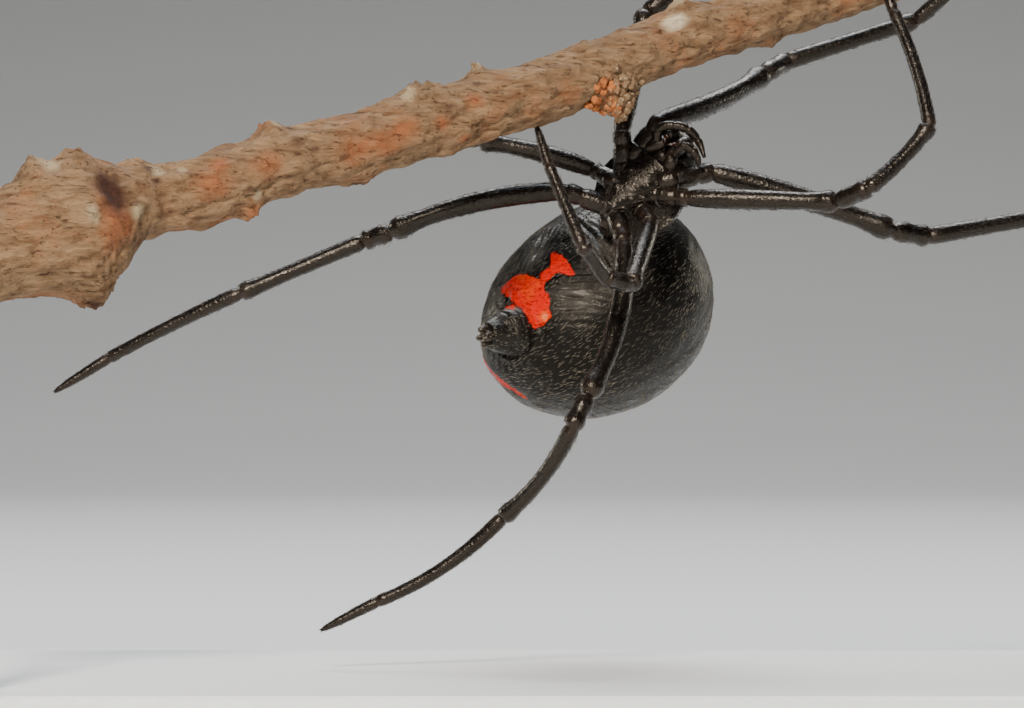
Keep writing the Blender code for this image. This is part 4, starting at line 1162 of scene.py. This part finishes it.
def mark_colour(finish, spot, colours):
    """Scarlet with orange patches, a pale corner, and fine fibres darker and paler than the rest."""
    scarlet, orange = colours.mark_scarlet, colours.mark_orange
    corner = finish.value("pale")
    red = finish.cover(scarlet, orange, finish.noise(spot, 900, 3), 0.5, 0.68, 0.8)
    red = finish.cover(red, orange, corner, 0.1, 0.6, 0.8)
    red = finish.cover(red, PALE_RED, corner, 0.6, 1.1)
    fibres = finish.noise(finish.place((1.0, 1.0, 3.0), (0.5, 0.3, 0.9)), 5200, 5, 0.7, 0.6)
    red = finish.cover(red, scaled(scarlet, 0.12), fibres, 0.54, 0.62, 0.9)
    return finish.cover(red, orange, fibres, 0.44, 0.34, 0.6)


def abdomen_finish(colours):
    """Soft leathery black skin with the red marks, a painted sheen, fine pores and folds."""
    finish = Finish("abdomen_skin", specular_tint=(1.0, 0.9, 0.76))
    spot = finish.place()
    black = colours.abdomen_black
    share = red_share(finish, spot)
    clouds = finish.noise(spot, 1200, 5)
    # Painted sheen: the skin is painted paler grey, and made glossier, where light shines on it
    worn = finish.product(finish.value("worn"), finish.between(clouds, 0.35, 0.6, 0.4, 1.0))
    ground = finish.cover(black, scaled(black, 2), clouds, 0.5, 0.75, 0.4)
    ground = finish.mix(worn, ground, PAINTED_SHEEN_GREY)
    sheen = finish.sum(0.18, finish.product(worn, 0.35))
    rough = finish.between(clouds, 0.3, 0.7, 0.24, 0.4)
    folds = finish.noise(finish.place((1.0, 1.0, 2.4), (0.3, 0.6, 0.2)), 5200, 5, 0.6)
    pores = finish.bump(finish.between(finish.cells(spot, 13000), 0.0, 0.5), 0.000016, 0.6)
    return finish.surface(
        base_color=finish.mix(share, ground, mark_colour(finish, spot, colours)),
        specular_ior_level=finish.product(sheen, finish.between(share, 0.0, 1.0, 1.0, 0.25)),
        roughness=finish.difference(rough, finish.product(worn, 0.12)),
        normal=finish.bump(folds, 0.00004, 0.55, pores),
    )


def hair_finish(name, root, tip, colours=None):
    """Hair paling to its tip, on the abdomen a painted glint, turning red where the skin under it does."""
    finish = Finish(name, roughness=0.38, specular_ior_level=0.4)
    colour = finish.mix(finish.value("along_hair"), root, tip)
    if colours is not None:
        spot = finish.place()
        colour = finish.mix(red_share(finish, spot), colour, mark_colour(finish, spot, colours))
    return finish.surface(base_color=colour)


def bark_finish(colours):
    """Tan bark: long fibres, dark straight cracks, soft rusty and pale patches about its knots."""
    finish = Finish("bark", specular_ior_level=0.25)
    axis = branch_axis()
    turn = (0.0, math.asin(axis[2]), -math.atan2(axis[1], axis[0]))
    long_spot = finish.place((0.16, 1.0, 1.0), turn)
    spot = finish.place()
    fibres = finish.noise(long_spot, 3200, 6, 0.7, 0.3)
    fine = finish.noise(long_spot, 11000, 5, 0.75)
    blotches = finish.noise(spot, 1500, 6, 0.7)
    rusty = finish.product(finish.sum(blotches, 0.12), finish.value("rusty"))
    lichen = finish.product(finish.sum(fine, 0.2), finish.value("paler"))
    shade = finish.product(finish.sum(blotches, 0.15), finish.value("darker"))
    cracks = finish.between(finish.noise(long_spot, 6000, 5, 0.75, 0.2), 0.57, 0.68, 0, 0.8)
    dark, rust, pale = colours.bark_dark, colours.bark_rust, colours.bark_pale
    colour = finish.cover(colours.bark_tan, pale, fibres, 0.36, 0.62)
    colour = finish.cover(colour, scaled(pale, 0.45), blotches, 0.52, 0.7, 0.5)
    colour = finish.cover(colour, rust, finish.noise(spot, 480, 6, 0.75), 0.52, 0.7, 0.5)
    colour = finish.cover(colour, rust, rusty, 0.1, 0.7, 0.75)
    colour = finish.cover(colour, colours.lichen, lichen, 0.25, 0.6, 0.8)
    colour = finish.cover(colour, dark, shade, 0.2, 0.7, 0.85)
    colour = finish.mix(cracks, colour, dark)
    colour = finish.cover(colour, dark, finish.cells(spot, 3200), 0.14, 0.06, 0.8)
    colour = finish.mix(finish.value("hollow"), colour, dark)
    coarse = finish.bump(fibres, 0.0002)
    torn = finish.bump(finish.difference(1.0, cracks), 0.0001, 0.9, coarse)
    return finish.surface(
        base_color=finish.mix(finish.value("scar"), colour, colours.scar_pale),
        roughness=finish.between(fine, 0.3, 0.7, 0.72, 0.92),
        normal=finish.bump(fine, 0.00008, 0.9, torn),
    )


def growth_finish(colours):
    """Lumpy growths on the bark: orange where the grain's own value is high, or else pale."""
    finish = Finish("bark_growth", specular_ior_level=0.25, roughness=0.85)
    spot = finish.place()
    grains = finish.cells(spot, 7000)
    bark = colours.bark_pale
    uneven = finish.difference(finish.noise(spot, 2600, 4, 0.6), 0.5)
    warm = finish.sum(finish.value("warm"), uneven)
    colour = finish.cover(colours.lichen, bark, finish.noise(spot, 4100, 3), 0.4, 0.6)
    colour = finish.cover(colour, scaled(bark, 0.6), grains, 0.1, 0.5)
    colour = finish.cover(colour, colours.growth_orange, warm, 0.5, 0.75)
    return finish.surface(
        base_color=finish.cover(colour, colours.bark_dark, finish.noise(spot, 5200, 5, 0.7), 0.48, 0.66, 0.8),
        normal=finish.bump(finish.difference(1.0, grains), 0.00006, 0.9),
    )


def cut_wood_finish(colours):
    """Sawn end grain: pale wood with fine rings about the branch's middle line."""
    finish = Finish("cut_wood", specular_ior_level=0.3, roughness=0.8)
    rings = finish.math("FRACT", finish.product(finish.value("from_middle"), 5.0), 0.0)
    return finish.surface(
        base_color=finish.cover(colours.scar_pale, colours.bark_tan, rings, 0.6, 1.0, 0.5),
        normal=finish.bump(finish.noise(finish.place(), 9000), 0.00004, 0.6),
    )


def clear_gloss_finish(name):
    """A polished surface with faint clouds in its colour, for eyes, fangs and claws."""
    colour, roughness = GLOSS[name]
    finish = Finish(name, roughness=roughness, specular_ior_level=0.6, coat_weight=0.5, coat_roughness=0.05)
    clouds = finish.noise(finish.place(), 12000)
    return finish.surface(base_color=finish.mix(clouds, colour, scaled(colour, 0.4)))


def stand_paint_finish(colour):
    """Satin paint with a very fine spray texture."""
    finish = Finish("stand_satin_paint", specular_ior_level=0.4)
    spray = finish.noise(finish.place(), 3500, 3)
    return finish.surface(
        base_color=finish.cover(colour, scaled(colour, 0.8), spray, 0.3, 0.7, 0.12),
        roughness=finish.between(spray, 0.3, 0.7, 0.42, 0.55),
        normal=finish.bump(spray, 0.00002, 0.4),
    )


def rod_steel_finish(colour):
    """Drawn steel wire: fine lines along the rod."""
    finish = Finish("stand_drawn_steel", metallic=1.0)
    lines = finish.noise(finish.place((1.0, 1.0, 0.02)), 9000, 3)
    return finish.surface(
        base_color=finish.mix(lines, colour, scaled(colour, 0.75)),
        roughness=finish.between(lines, 0.3, 0.7, 0.22, 0.38),
        normal=finish.bump(lines, 0.00001, 0.5),
    )


# Settings


def colour_setting(name, description, default):
    """A colour property with its default."""
    return bpy.props.FloatVectorProperty(
        name=name, description=description, default=default, subtype="COLOR", size=3, min=0.0, max=1.0
    )


def length_setting(name, description, default):
    """A length property in metres."""
    return bpy.props.FloatProperty(
        name=name, description=description, default=default, unit="LENGTH", min=0.0
    )


def count_setting(name, description, default):
    """A whole number property."""
    return bpy.props.IntProperty(name=name, description=description, default=default, min=0)


class SpiderColours(bpy.types.PropertyGroup):
    """Colours of the spider and the branch."""

    cuticle_black: colour_setting("Cuticle", "Colour of legs and front body", (0.0045, 0.0034, 0.0028))
    cuticle_joint: colour_setting("Joints", "Dark red-brown near the leg joints", (0.015, 0.0085, 0.006))
    abdomen_black: colour_setting("Abdomen", "Colour of the abdomen's skin", (0.0025, 0.0022, 0.002))
    mark_scarlet: colour_setting("Mark scarlet", "Main colour of the hourglass", (0.56, 0.007, 0.002))
    mark_orange: colour_setting("Mark orange", "Colour of the hourglass's paler patches", (0.7, 0.07, 0.005))
    # The abdomen's hairs are painted pale towards their tips, a painted glint of the light they catch
    hair_painted_glint: colour_setting("Pale hair", "Tips of the abdomen's hairs", (0.55, 0.46, 0.34))
    hair_dark: colour_setting("Dark hair", "Bristles of the legs", (0.016, 0.011, 0.008))
    bark_tan: colour_setting("Bark", "Main colour of the bark", (0.155, 0.08, 0.036))
    bark_pale: colour_setting("Pale bark", "Dusty ridges of the bark", (0.32, 0.195, 0.1))
    bark_rust: colour_setting("Rusty bark", "Red-orange patches of the bark", (0.34, 0.1, 0.033))
    lichen: colour_setting("Lichen", "Yellowish crust on the knots", (0.45, 0.34, 0.2))
    bark_dark: colour_setting("Cracks", "Cracks and hollows of the bark", (0.06, 0.022, 0.012))
    scar_pale: colour_setting("Pale scar", "Healed cuts and cut wood", (0.7, 0.55, 0.36))
    growth_orange: colour_setting("Growths", "Orange growth below the branch", (0.42, 0.13, 0.035))


class SpiderCoat(bpy.types.PropertyGroup):
    """Numbers and lengths of hairs."""

    abdomen_hairs: count_setting("Abdomen hairs", "Number of hairs on the abdomen", 9000)
    leg_hairs: count_setting("Leg hairs", "Number of hairs on each leg", 2400)
    front_hairs: count_setting("Front body hairs", "Number of hairs on the front body", 2600)
    abdomen_hair_length: length_setting("Abdomen hair length", "Mean length of the abdomen's hairs", 0.00015)
    leg_hair_length: length_setting("Leg hair length", "Mean length of the legs' hairs", 0.00013)


class StandLook(bpy.types.PropertyGroup):
    """Finish of the display stand and the stage."""

    paint: colour_setting("Base paint", "Colour of the stand's base", (0.8, 0.8, 0.78))
    steel: colour_setting("Rods", "Colour of the stand's rods", (0.62, 0.62, 0.64))
    floor: colour_setting("Floor", "Colour of the floor and backdrop", (0.7, 0.7, 0.69))
    key_power: bpy.props.FloatProperty(
        name="Key light", description="Power of the main light", default=0.36, unit="POWER", min=0.0
    )


# Pieces


class Builder(bpy.types.Operator):
    """Shared settings of every step."""

    bl_options = {"REGISTER", "UNDO"}

    @property
    def colours(self):
        """The scene's colour settings."""
        return bpy.context.scene.spider_colours

    @property
    def coat(self):
        """The scene's coat settings."""
        return bpy.context.scene.spider_coat

    def black(self, name, **more):
        """Black cuticle in the scene's colours."""
        return cuticle_finish(name, self.colours.cuticle_black, self.colours.cuticle_joint, **more)


class SPIDER_OT_front_body(Builder):
    """Front body, breast plate, mouthparts and legs as one skin, and the claws"""

    bl_idname = "spider.front_body"
    bl_label = "Front body and legs"

    def execute(self, context):
        plate = breast_rings()
        border = np.abs(np.cos(full_turn(plate.shape[1])))
        shells = [shell(front_body_rings()), shell(plate, finish=1, seam=bell(border - 1, 0.04))]
        for leg in LEG_POSES:
            rings, nearness, _, axes = leg_surface(leg)
            middles = rings[0].mean(axis=0) + np.array(COLLAR_STEPS)[:, None] * axes[0]
            sizes = THIGH_RADIUS[int(leg[-1])] * np.array(COLLAR_SIZES)
            collar = circles(middles, axes[0], sizes, 32, least_used_way(axes[:1]))
            shells += [shell(rings, joint=nearness[:, None]), shell(collar, joint=0.35)]
        lip = ellipsoid_rings(front_body_point(LIP_MIDDLE), LIP_HALF_SIZES, FRONT_AXES)
        shells.append(shell(*lip, finish=1, joint=0.2))
        for sign in (1, -1):
            lobe = mirrored(FEELER_LOBE_PATH, sign)
            shells.append(curved_tube(lobe, FEELER_LOBE_RADII, 24, joint=0.6))
            shells.append(curved_tube(mirrored(JAW_PATH, sign), JAW_RADII, 28, joint=0.25))
        for path in FEELER_PATHS:
            path = front_body_point(path)
            shells.append(curved_tube(path, FEELER_RADII, 22, rings=90, necks=FEELER_NECKS, joint=0.35))
        waist_end, outward = belly_point(WAIST_ANGLE)
        waist = [*front_body_point(WAIST_ROOTS), waist_end - outward * WAIST_BURIED]
        shells.append(curved_tube(waist, WAIST_RADII, 24, joint=0.5))
        breast = self.black("breast_cuticle", roughness=0.26, grain=0.8, sheen=0.2)
        skin = make_piece("body_skin", shells, [self.black("cuticle"), breast])
        nodes = ["cephalothorax", "pedicel"]
        nodes += [f"{part}_{side}" for part in ("chelicera", "pedipalp") for side in ("left", "right")]
        nodes += [f"leg_{leg}_{part}" for leg in LEG_POSES for part in ("hip", "femur", "tibia", "foot")]
        fit_piece(skin, nodes)
        claws = [self.claw(leg, turn) for leg in LEG_POSES for turn in (-0.5, 0.5)]
        fit_piece(make_piece("claws", claws, [clear_gloss_finish("claw_horn")]))
        return {"FINISHED"}

    def claw(self, leg, turn):
        """A small hooked claw at a leg's tip, as a tapered tube on about a quarter turn."""
        *_, ankle, tip = leg_joints(leg)
        way = unit(tip - ankle)
        down = unit(np.cross(way, least_used_way([way])))
        aside = np.cross(way, down)
        angle = np.linspace(0, CLAW["angle"], len(CLAW["radii"]))[:, None]
        root = tip - way * CLAW["buried"] + aside * CLAW["apart"] * np.sign(turn)
        bend = np.sin(angle) * way + (1 - np.cos(angle)) * (down + turn * aside)
        return curved_tube(root + CLAW["size"] * bend, CLAW["radii"], 8, rings=10)


class SPIDER_OT_eyes_and_fangs(Builder):
    """Eight small eyes and two fangs"""

    bl_idname = "spider.eyes_and_fangs"
    bl_label = "Eyes and fangs"

    def execute(self, context):
        places = eye_places()
        balls = [ellipsoid_rings(front_body_point(p), (r, r, r), FRONT_AXES) for p, r in places.values()]
        eyes = [shell(*ball) for ball in balls]
        gloss = clear_gloss_finish("eye_gloss")
        fit_piece(make_piece("eyes", eyes, [gloss]), list(places))
        fangs = [curved_tube(mirrored(FANG_PATH, sign), FANG_RADII, 16, rings=30) for sign in (1, -1)]
        horn = clear_gloss_finish("fang_horn")
        fit_piece(make_piece("fangs", fangs, [horn]), ["fang_left", "fang_right"])
        return {"FINISHED"}


class SPIDER_OT_abdomen(Builder):
    """Abdomen with its red marks, and the spinnerets"""

    bl_idname = "spider.abdomen"
    bl_label = "Abdomen"

    def execute(self, context):
        rings, values = abdomen_grid()
        cone, pairs = spinneret_surfaces()
        cone_marks = red_marks((cone - np.array(ABDOMEN_MIDDLE)) @ ABDOMEN_AXES.T)
        shells = [shell(rings, abdomen_surface((0, math.pi), 0), **values)]
        # The cone gets a faint painted sheen: slightly paler, glossier skin
        shells.append(shell(cone, mark=cone_marks, worn=0.06))
        shells += [shell(pair, finish=1, joint=0.5) for pair in pairs]
        finishes = [abdomen_finish(self.colours), self.black("spinneret_skin", roughness=0.36, grain=1.5)]
        skin = make_piece("abdomen_skin", shells, finishes)
        fit_piece(skin, ["abdomen", "spinnerets"])
        return {"FINISHED"}


def abdomen_grid():
    """Rings of the abdomen's skin with its relief, and its values: marks, pale corner, painted sheen.

    The rings and sides stand closer together near the marks, by a wave added to their angles."""
    even = np.linspace(0, math.pi, ABDOMEN_RINGS + 1)[1:-1][:, None]
    along = even - RING_CROWDING * (np.sin(2 * (even - FINEST_ALONG)) + math.sin(2 * FINEST_ALONG))
    even = full_turn(ABDOMEN_SIDES)[None, :]
    around = even + SIDE_CROWDING * np.cos(even)
    smooth = abdomen_surface(along, around)
    local = abdomen_local(along, around)
    relief = abdomen_relief(local) * np.minimum(np.sin(along) / 0.1, 1)
    forward, left, below = np.moveaxis(local, -1, 0)
    corner = np.hypot(forward - PALE_CORNER["forward"], left - PALE_CORNER["left"])
    values = {
        "mark": red_marks(local),
        "pale": np.where(below > 0, bell(corner, PALE_CORNER["size"]), 0),
        "worn": painted_sheen_share(local),
    }
    return smooth + grid_normals(smooth) * relief[..., None], values


def spinneret_surfaces():
    """Rings of the lumpy cone, and of its six two-jointed spinnerets."""
    place, outward = belly_point(SPINNERET_ANGLE, SPINNERET_AROUND)
    axis = unit(outward - SPINNERET_LEAN * ABDOMEN_AXES[0])
    lengths, sizes = np.array(SPINNERET_CONE).T
    at = np.linspace(lengths[0], lengths[-1], 44)
    creases = sum(bell(at - crease, CONE_CREASES["width"]) for crease in CONE_CREASES["places"])
    radius = np.interp(at, lengths, sizes) - CONE_CREASES["depth"] * creases
    across = ABDOMEN_AXES[1]
    cone = circles(place + at[:, None] * axis, axis, radius, 96, across)
    relief = sum(height * ripples(cone, size, seed) for height, size, seed in CONE_RELIEF)
    cone = cone + grid_normals(cone) * relief[..., None]
    down = unit(np.cross(axis, across))
    pairs = []
    for aside, height, size, length in SPINNERET_PAIRS:
        for sign in (1, -1):
            foot = place + lengths[-1] * axis + sign * aside * across + height * down
            lean = unit(axis + 0.12 * sign * across)
            at = np.linspace(-0.2, length, 26)
            profile = np.interp(at / length, *np.array(SPINNERET_PROFILE).T)
            pairs.append(circles(foot + at[:, None] * lean, lean, profile * size, 22, across))
    return cone, pairs


class SPIDER_OT_abdomen_coat(Builder):
    """Short hairs lying along the abdomen and spinnerets"""

    bl_idname = "spider.abdomen_coat"
    bl_label = "Abdomen coat"

    def execute(self, context):
        rng = np.random.default_rng(SEEDS["abdomen"])
        rings, values = abdomen_grid()
        look = {
            "density": 1 - 0.85 * np.clip(values["worn"], 0, 1),
            "length": self.coat.abdomen_hair_length / MILLIMETRE,
            "mark": values["mark"],
        }
        extent = (1, 1 - 1 / ABDOMEN_RINGS)
        coats = [lay_hairs("abdomen", rings, self.coat.abdomen_hairs, rng, (0, 0), extent, **look)]
        cone, pairs = spinneret_surfaces()
        look = {"corner": (0, 0), "extent": (0.1, 0.1), "mark": UNMARKED}
        for grid, (count, length) in [(cone, CONE_HAIRS)] + [(pair, SPINNERET_HAIRS) for pair in pairs]:
            coats.append(lay_hairs("spinnerets", grid, count, rng, length=length, **look))
        colours = self.colours
        # The pale hair tips are a painted glint
        hair = hair_finish("abdomen_hair", colours.hair_dark, colours.hair_painted_glint, colours)
        fit_piece(make_coat("abdomen_hairs", coats, hair))
        return {"FINISHED"}


class SPIDER_OT_body_coat(Builder):
    """Bristles along the legs, and short hairs on the front body"""

    bl_idname = "spider.body_coat"
    bl_label = "Leg and front body coat"

    def execute(self, context):
        dark = self.colours.hair_dark
        hair = hair_finish("leg_hair", dark, scaled(dark, 6))
        for side in ("left", "right"):
            coats = [self.leg_coat(leg, i) for i, leg in enumerate(LEG_POSES) if leg.startswith(side)]
            fit_piece(make_coat(f"leg_hairs_{side}", coats, hair))
        rng = np.random.default_rng(SEEDS["front_body"])
        grids = ((front_body_rings(), self.coat.front_hairs, 1), (breast_rings(), BREAST_HAIRS, -1))
        coats = [
            lay_hairs("front_body", grid, count, rng, (strip / 2, 0), (0.5, 1), lies=way * FRONT_AXES[0])
            for strip, (grid, count, way) in enumerate(grids)
        ]
        fit_piece(make_coat("front_body_hairs", coats, hair))
        return {"FINISHED"}

    def leg_coat(self, leg, strip):
        """Bristles of one leg, thicker and closer towards its tip, leaning along it."""
        rng = np.random.default_rng(SEEDS["legs"] + strip)
        rings, _, share, axes = leg_surface(leg)
        share = share[:, None]
        look = {
            "lies": axes[:, None],
            "density": np.interp(share, *zip(*LEG_HAIR_DENSITY)),
            "length": self.coat.leg_hair_length / MILLIMETRE * (1.15 - 0.35 * share),
            "width": 1.1 - 0.4 * share,
        }
        return lay_hairs("leg", rings, self.coat.leg_hairs, rng, (strip / 8, 0), (1 / 8, 1), **look)


class SPIDER_OT_branch(Builder):
    """The branch with its bark, scars, hollows and growths"""

    bl_idname = "spider.branch"
    bl_label = "Branch"

    def execute(self, context):
        x = np.linspace(*BRANCH_ENDS, BRANCH_RINGS)[:, None]
        angle = np.degrees(full_turn(BRANCH_SIDES))
        radius = bark_radius(x, angle)
        knot = np.clip((radius - smooth_curve(*zip(*BRANCH_RADIUS), x)) / KNOT_FULL, 0, 1)
        flat = branch_point(x + 0 * angle, angle, radius)
        axis = branch_axis()
        stretched = flat - GRAIN_STRETCH * (flat @ axis)[..., None] * axis
        ridges = ripples(stretched, *BARK_RIPPLES["ridges"])
        folds = ripples(stretched, *BARK_RIPPLES["folds"])
        lumps = ripples(flat, *BARK_RIPPLES["lumps"])
        size = BARK_RELIEF
        radius = radius + size["lumps"] * lumps + size["ridges"] * ridges - size["folds"] * np.abs(folds)
        radius = radius + size["knots"] * knot * ripples(flat, *BARK_RIPPLES["knots"])
        hollow, crease, scar = (
            bell(x - place, long) * bell(turn_between(around, angle), wide)
            for place, long, around, wide in (BARK_HOLLOW, BARK_CREASE, BARK_SCAR)
        )
        radius = radius - size["hollow"] * hollow - size["crease"] * crease + size["scar"] * scar
        rings = branch_point(x + 0 * angle, angle, radius)
        values = {
            "hollow": np.clip(1.4 * hollow, 0, 1),
            "scar": np.clip(2 * scar - 0.6, 0, 1),
            "rusty": bark_patches(x, angle, RUSTY_PATCHES),
            "darker": bark_patches(x, angle, DARK_PATCHES),
            "paler": bark_patches(x, angle, PALE_PATCHES),
        }
        shells = [shell(rings, **values)]
        shells += [self.cut_face(rings[end], axis * way * CUT_LIFT) for end, way in ((0, -1), (-1, 1))]
        finishes = [bark_finish(self.colours), cut_wood_finish(self.colours)]
        fit_piece(make_piece("branch_bark", shells, finishes), ["branch"])
        fit_piece(make_piece("bark_growths", self.growths(), [growth_finish(self.colours)]))
        return {"FINISHED"}

    def cut_face(self, ring, lift):
        """A thin disc of sawn wood on a cut end, drawn in from the end's own outline."""
        middle = ring.mean(axis=0)
        share = np.array(CUT_SIZES)[:, None, None]
        depth = np.array(CUT_DEPTHS)[:, None, None]
        rings = middle + share * (ring - middle) + depth * lift
        return shell(rings, finish=1, from_middle=share[..., 0])

    def growths(self):
        """Clusters of lumpy grains: balls set on the bark with a rippled skin."""
        rng = np.random.default_rng(SEEDS["growths"])
        shells = []
        for x, angle, spread, count, size in GROWTH_CLUSTERS:
            for _ in range(count):
                place = x + GRAIN["along"] * spread * rng.normal()
                turned = np.array(angle + GRAIN["around"] * spread * rng.normal())
                middle = branch_point(place, turned, bark_radius(place, turned) - GRAIN["buried"])
                half = size * rng.uniform(*GRAIN["sizes"], 3)
                axes = np.linalg.qr(rng.normal(size=(3, 3)))[0]
                rings, tips = ellipsoid_rings(middle, half, axes, 12, 16)
                swell = 1 + GRAIN["lumps"] * ripples(rings, *GRAIN["ripples"])[..., None]
                warm = bell(place - WARM_GRAINS["place"], WARM_GRAINS["spread"])
                warm = warm + WARM_GRAINS["stray"] * rng.normal()
                shells.append(shell(middle + (rings - middle) * swell, tips, warm=warm))
        return shells


class SPIDER_OT_stand(Builder):
    """Finish of the display stand's base and rods"""

    bl_idname = "spider.stand"
    bl_label = "Stand"

    def execute(self, context):
        look = context.scene.stand_look
        steel = rod_steel_finish(look.steel)
        finishes = {"base": stand_paint_finish(look.paint), "rod_left": steel, "rod_right": steel}
        for name, finish in finishes.items():
            bpy.data.objects[f"stand_{name}"].material_slots[0].material = finish
        return {"FINISHED"}


class SPIDER_OT_stage(Builder):
    """Pale floor with a curved backdrop, soft lights and the camera"""

    bl_idname = "spider.stage"
    bl_label = "Stage"

    def execute(self, context):
        look = context.scene.stand_look
        floor = self.backdrop(look)
        floor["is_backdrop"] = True
        self.lights(look)
        world = bpy.data.worlds.new("studio")
        world.use_nodes = True
        sky = world.node_tree.nodes["Background"]
        sky.inputs["Color"].default_value = SKY_COLOUR
        sky.inputs["Strength"].default_value = SKY_STRENGTH
        context.scene.world = world
        camera = bpy.data.cameras.new("camera")
        camera.lens = LENS
        camera.sensor_width = PICTURE_WIDTH
        camera.clip_start, camera.clip_end = CAMERA_REACH
        holder = new_object("camera", camera)
        holder.location = np.array(CAMERA_PLACE) * MILLIMETRE
        holder.rotation_euler = (math.pi / 2, 0, 0)
        context.scene.camera = holder
        return {"FINISHED"}

    def backdrop(self, look):
        """A flat floor that curves up behind into a wall, as one strip swept along X."""
        paper = Finish("studio_paper", roughness=0.9, specular_ior_level=0.2, base_color=look.floor)
        angle = np.linspace(0, math.pi / 2, 24)
        back, bend, wall = BACKDROP["back"], BACKDROP["bend"], BACKDROP["wall"]
        y = np.concatenate([[BACKDROP["front"], 0], back + bend * np.sin(angle), [back + bend]])
        z = np.concatenate([[0, 0], bend - bend * np.cos(angle), [wall]])
        x = np.array([-1, 1]) * BACKDROP["half_width"]
        points = np.stack(np.broadcast_arrays(x, y[:, None], z[:, None]), axis=-1)
        points = points.reshape(-1, 3) * MILLIMETRE
        row = np.arange(len(y) - 1) * 2
        faces = np.stack([row, row + 1, row + 3, row + 2], axis=-1)
        mesh = bpy.data.meshes.new("backdrop")
        mesh.from_pydata(points.tolist(), [], faces.tolist())
        mesh.polygons.foreach_set("use_smooth", np.ones(len(faces), bool))
        mesh.materials.append(paper.material)
        return new_object("backdrop", mesh)

    def lights(self, look):
        """Soft boxes aimed at the spider: a key, a fill, a cool one above and a rim behind."""
        for name, place, size, share, colour in LIGHTS:
            light = bpy.data.lights.new(name, "AREA")
            light.shape = "SQUARE"
            light.size = size * MILLIMETRE
            light.energy = look.key_power * share
            light.color = colour
            holder = new_object(name, light)
            holder.location = np.array(place) * MILLIMETRE
            right, back, up = np.array(place) - LIGHT_AIM
            holder.rotation_euler = (math.atan2(math.hypot(right, back), up), 0, math.atan2(right, -back))


class SPIDER_PT_panel(bpy.types.Panel):
    """The sidebar panel that lists the settings and steps"""

    bl_idname = "SPIDER_PT_panel"
    bl_label = "Black Widow Spider"
    bl_space_type = "VIEW_3D"
    bl_region_type = "UI"
    bl_category = "Spider"

    def draw(self, context):
        for step in STEPS:
            self.layout.operator(step.bl_idname)
        for group in (context.scene.spider_colours, context.scene.spider_coat, context.scene.stand_look):
            box = self.layout.box()
            for name in group.bl_rna.properties.keys():
                if name not in {"rna_type", "name"}:
                    box.prop(group, name)


STEPS = (
    SPIDER_OT_front_body,
    SPIDER_OT_eyes_and_fangs,
    SPIDER_OT_abdomen,
    SPIDER_OT_abdomen_coat,
    SPIDER_OT_body_coat,
    SPIDER_OT_branch,
    SPIDER_OT_stand,
    SPIDER_OT_stage,
)
CLASSES = (SpiderColours, SpiderCoat, StandLook, *STEPS, SPIDER_PT_panel)


def register():
    """Makes the classes known and adds their settings to the scene."""
    for one in CLASSES:
        bpy.utils.register_class(one)
    bpy.types.Scene.spider_colours = bpy.props.PointerProperty(type=SpiderColours)
    bpy.types.Scene.spider_coat = bpy.props.PointerProperty(type=SpiderCoat)
    bpy.types.Scene.stand_look = bpy.props.PointerProperty(type=StandLook)


def unregister():
    """Removes the settings and the classes."""
    del bpy.types.Scene.stand_look
    del bpy.types.Scene.spider_coat
    del bpy.types.Scene.spider_colours
    for one in reversed(CLASSES):
        bpy.utils.unregister_class(one)


def main():
    """Builds every piece and works out the two boxes, the solids' and the finished model's."""
    register()
    bpy.ops.spider.front_body()
    bpy.ops.spider.eyes_and_fangs()
    bpy.ops.spider.abdomen()
    bpy.ops.spider.abdomen_coat()
    bpy.ops.spider.body_coat()
    bpy.ops.spider.branch()
    bpy.ops.spider.stand()
    bpy.ops.spider.stage()
    boxes = {"cad": CAD_BOX, "visual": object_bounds()}
    boxes = {name: [[float(value) for value in corner] for corner in box] for name, box in boxes.items()}


if __name__ == "__main__":
    main()
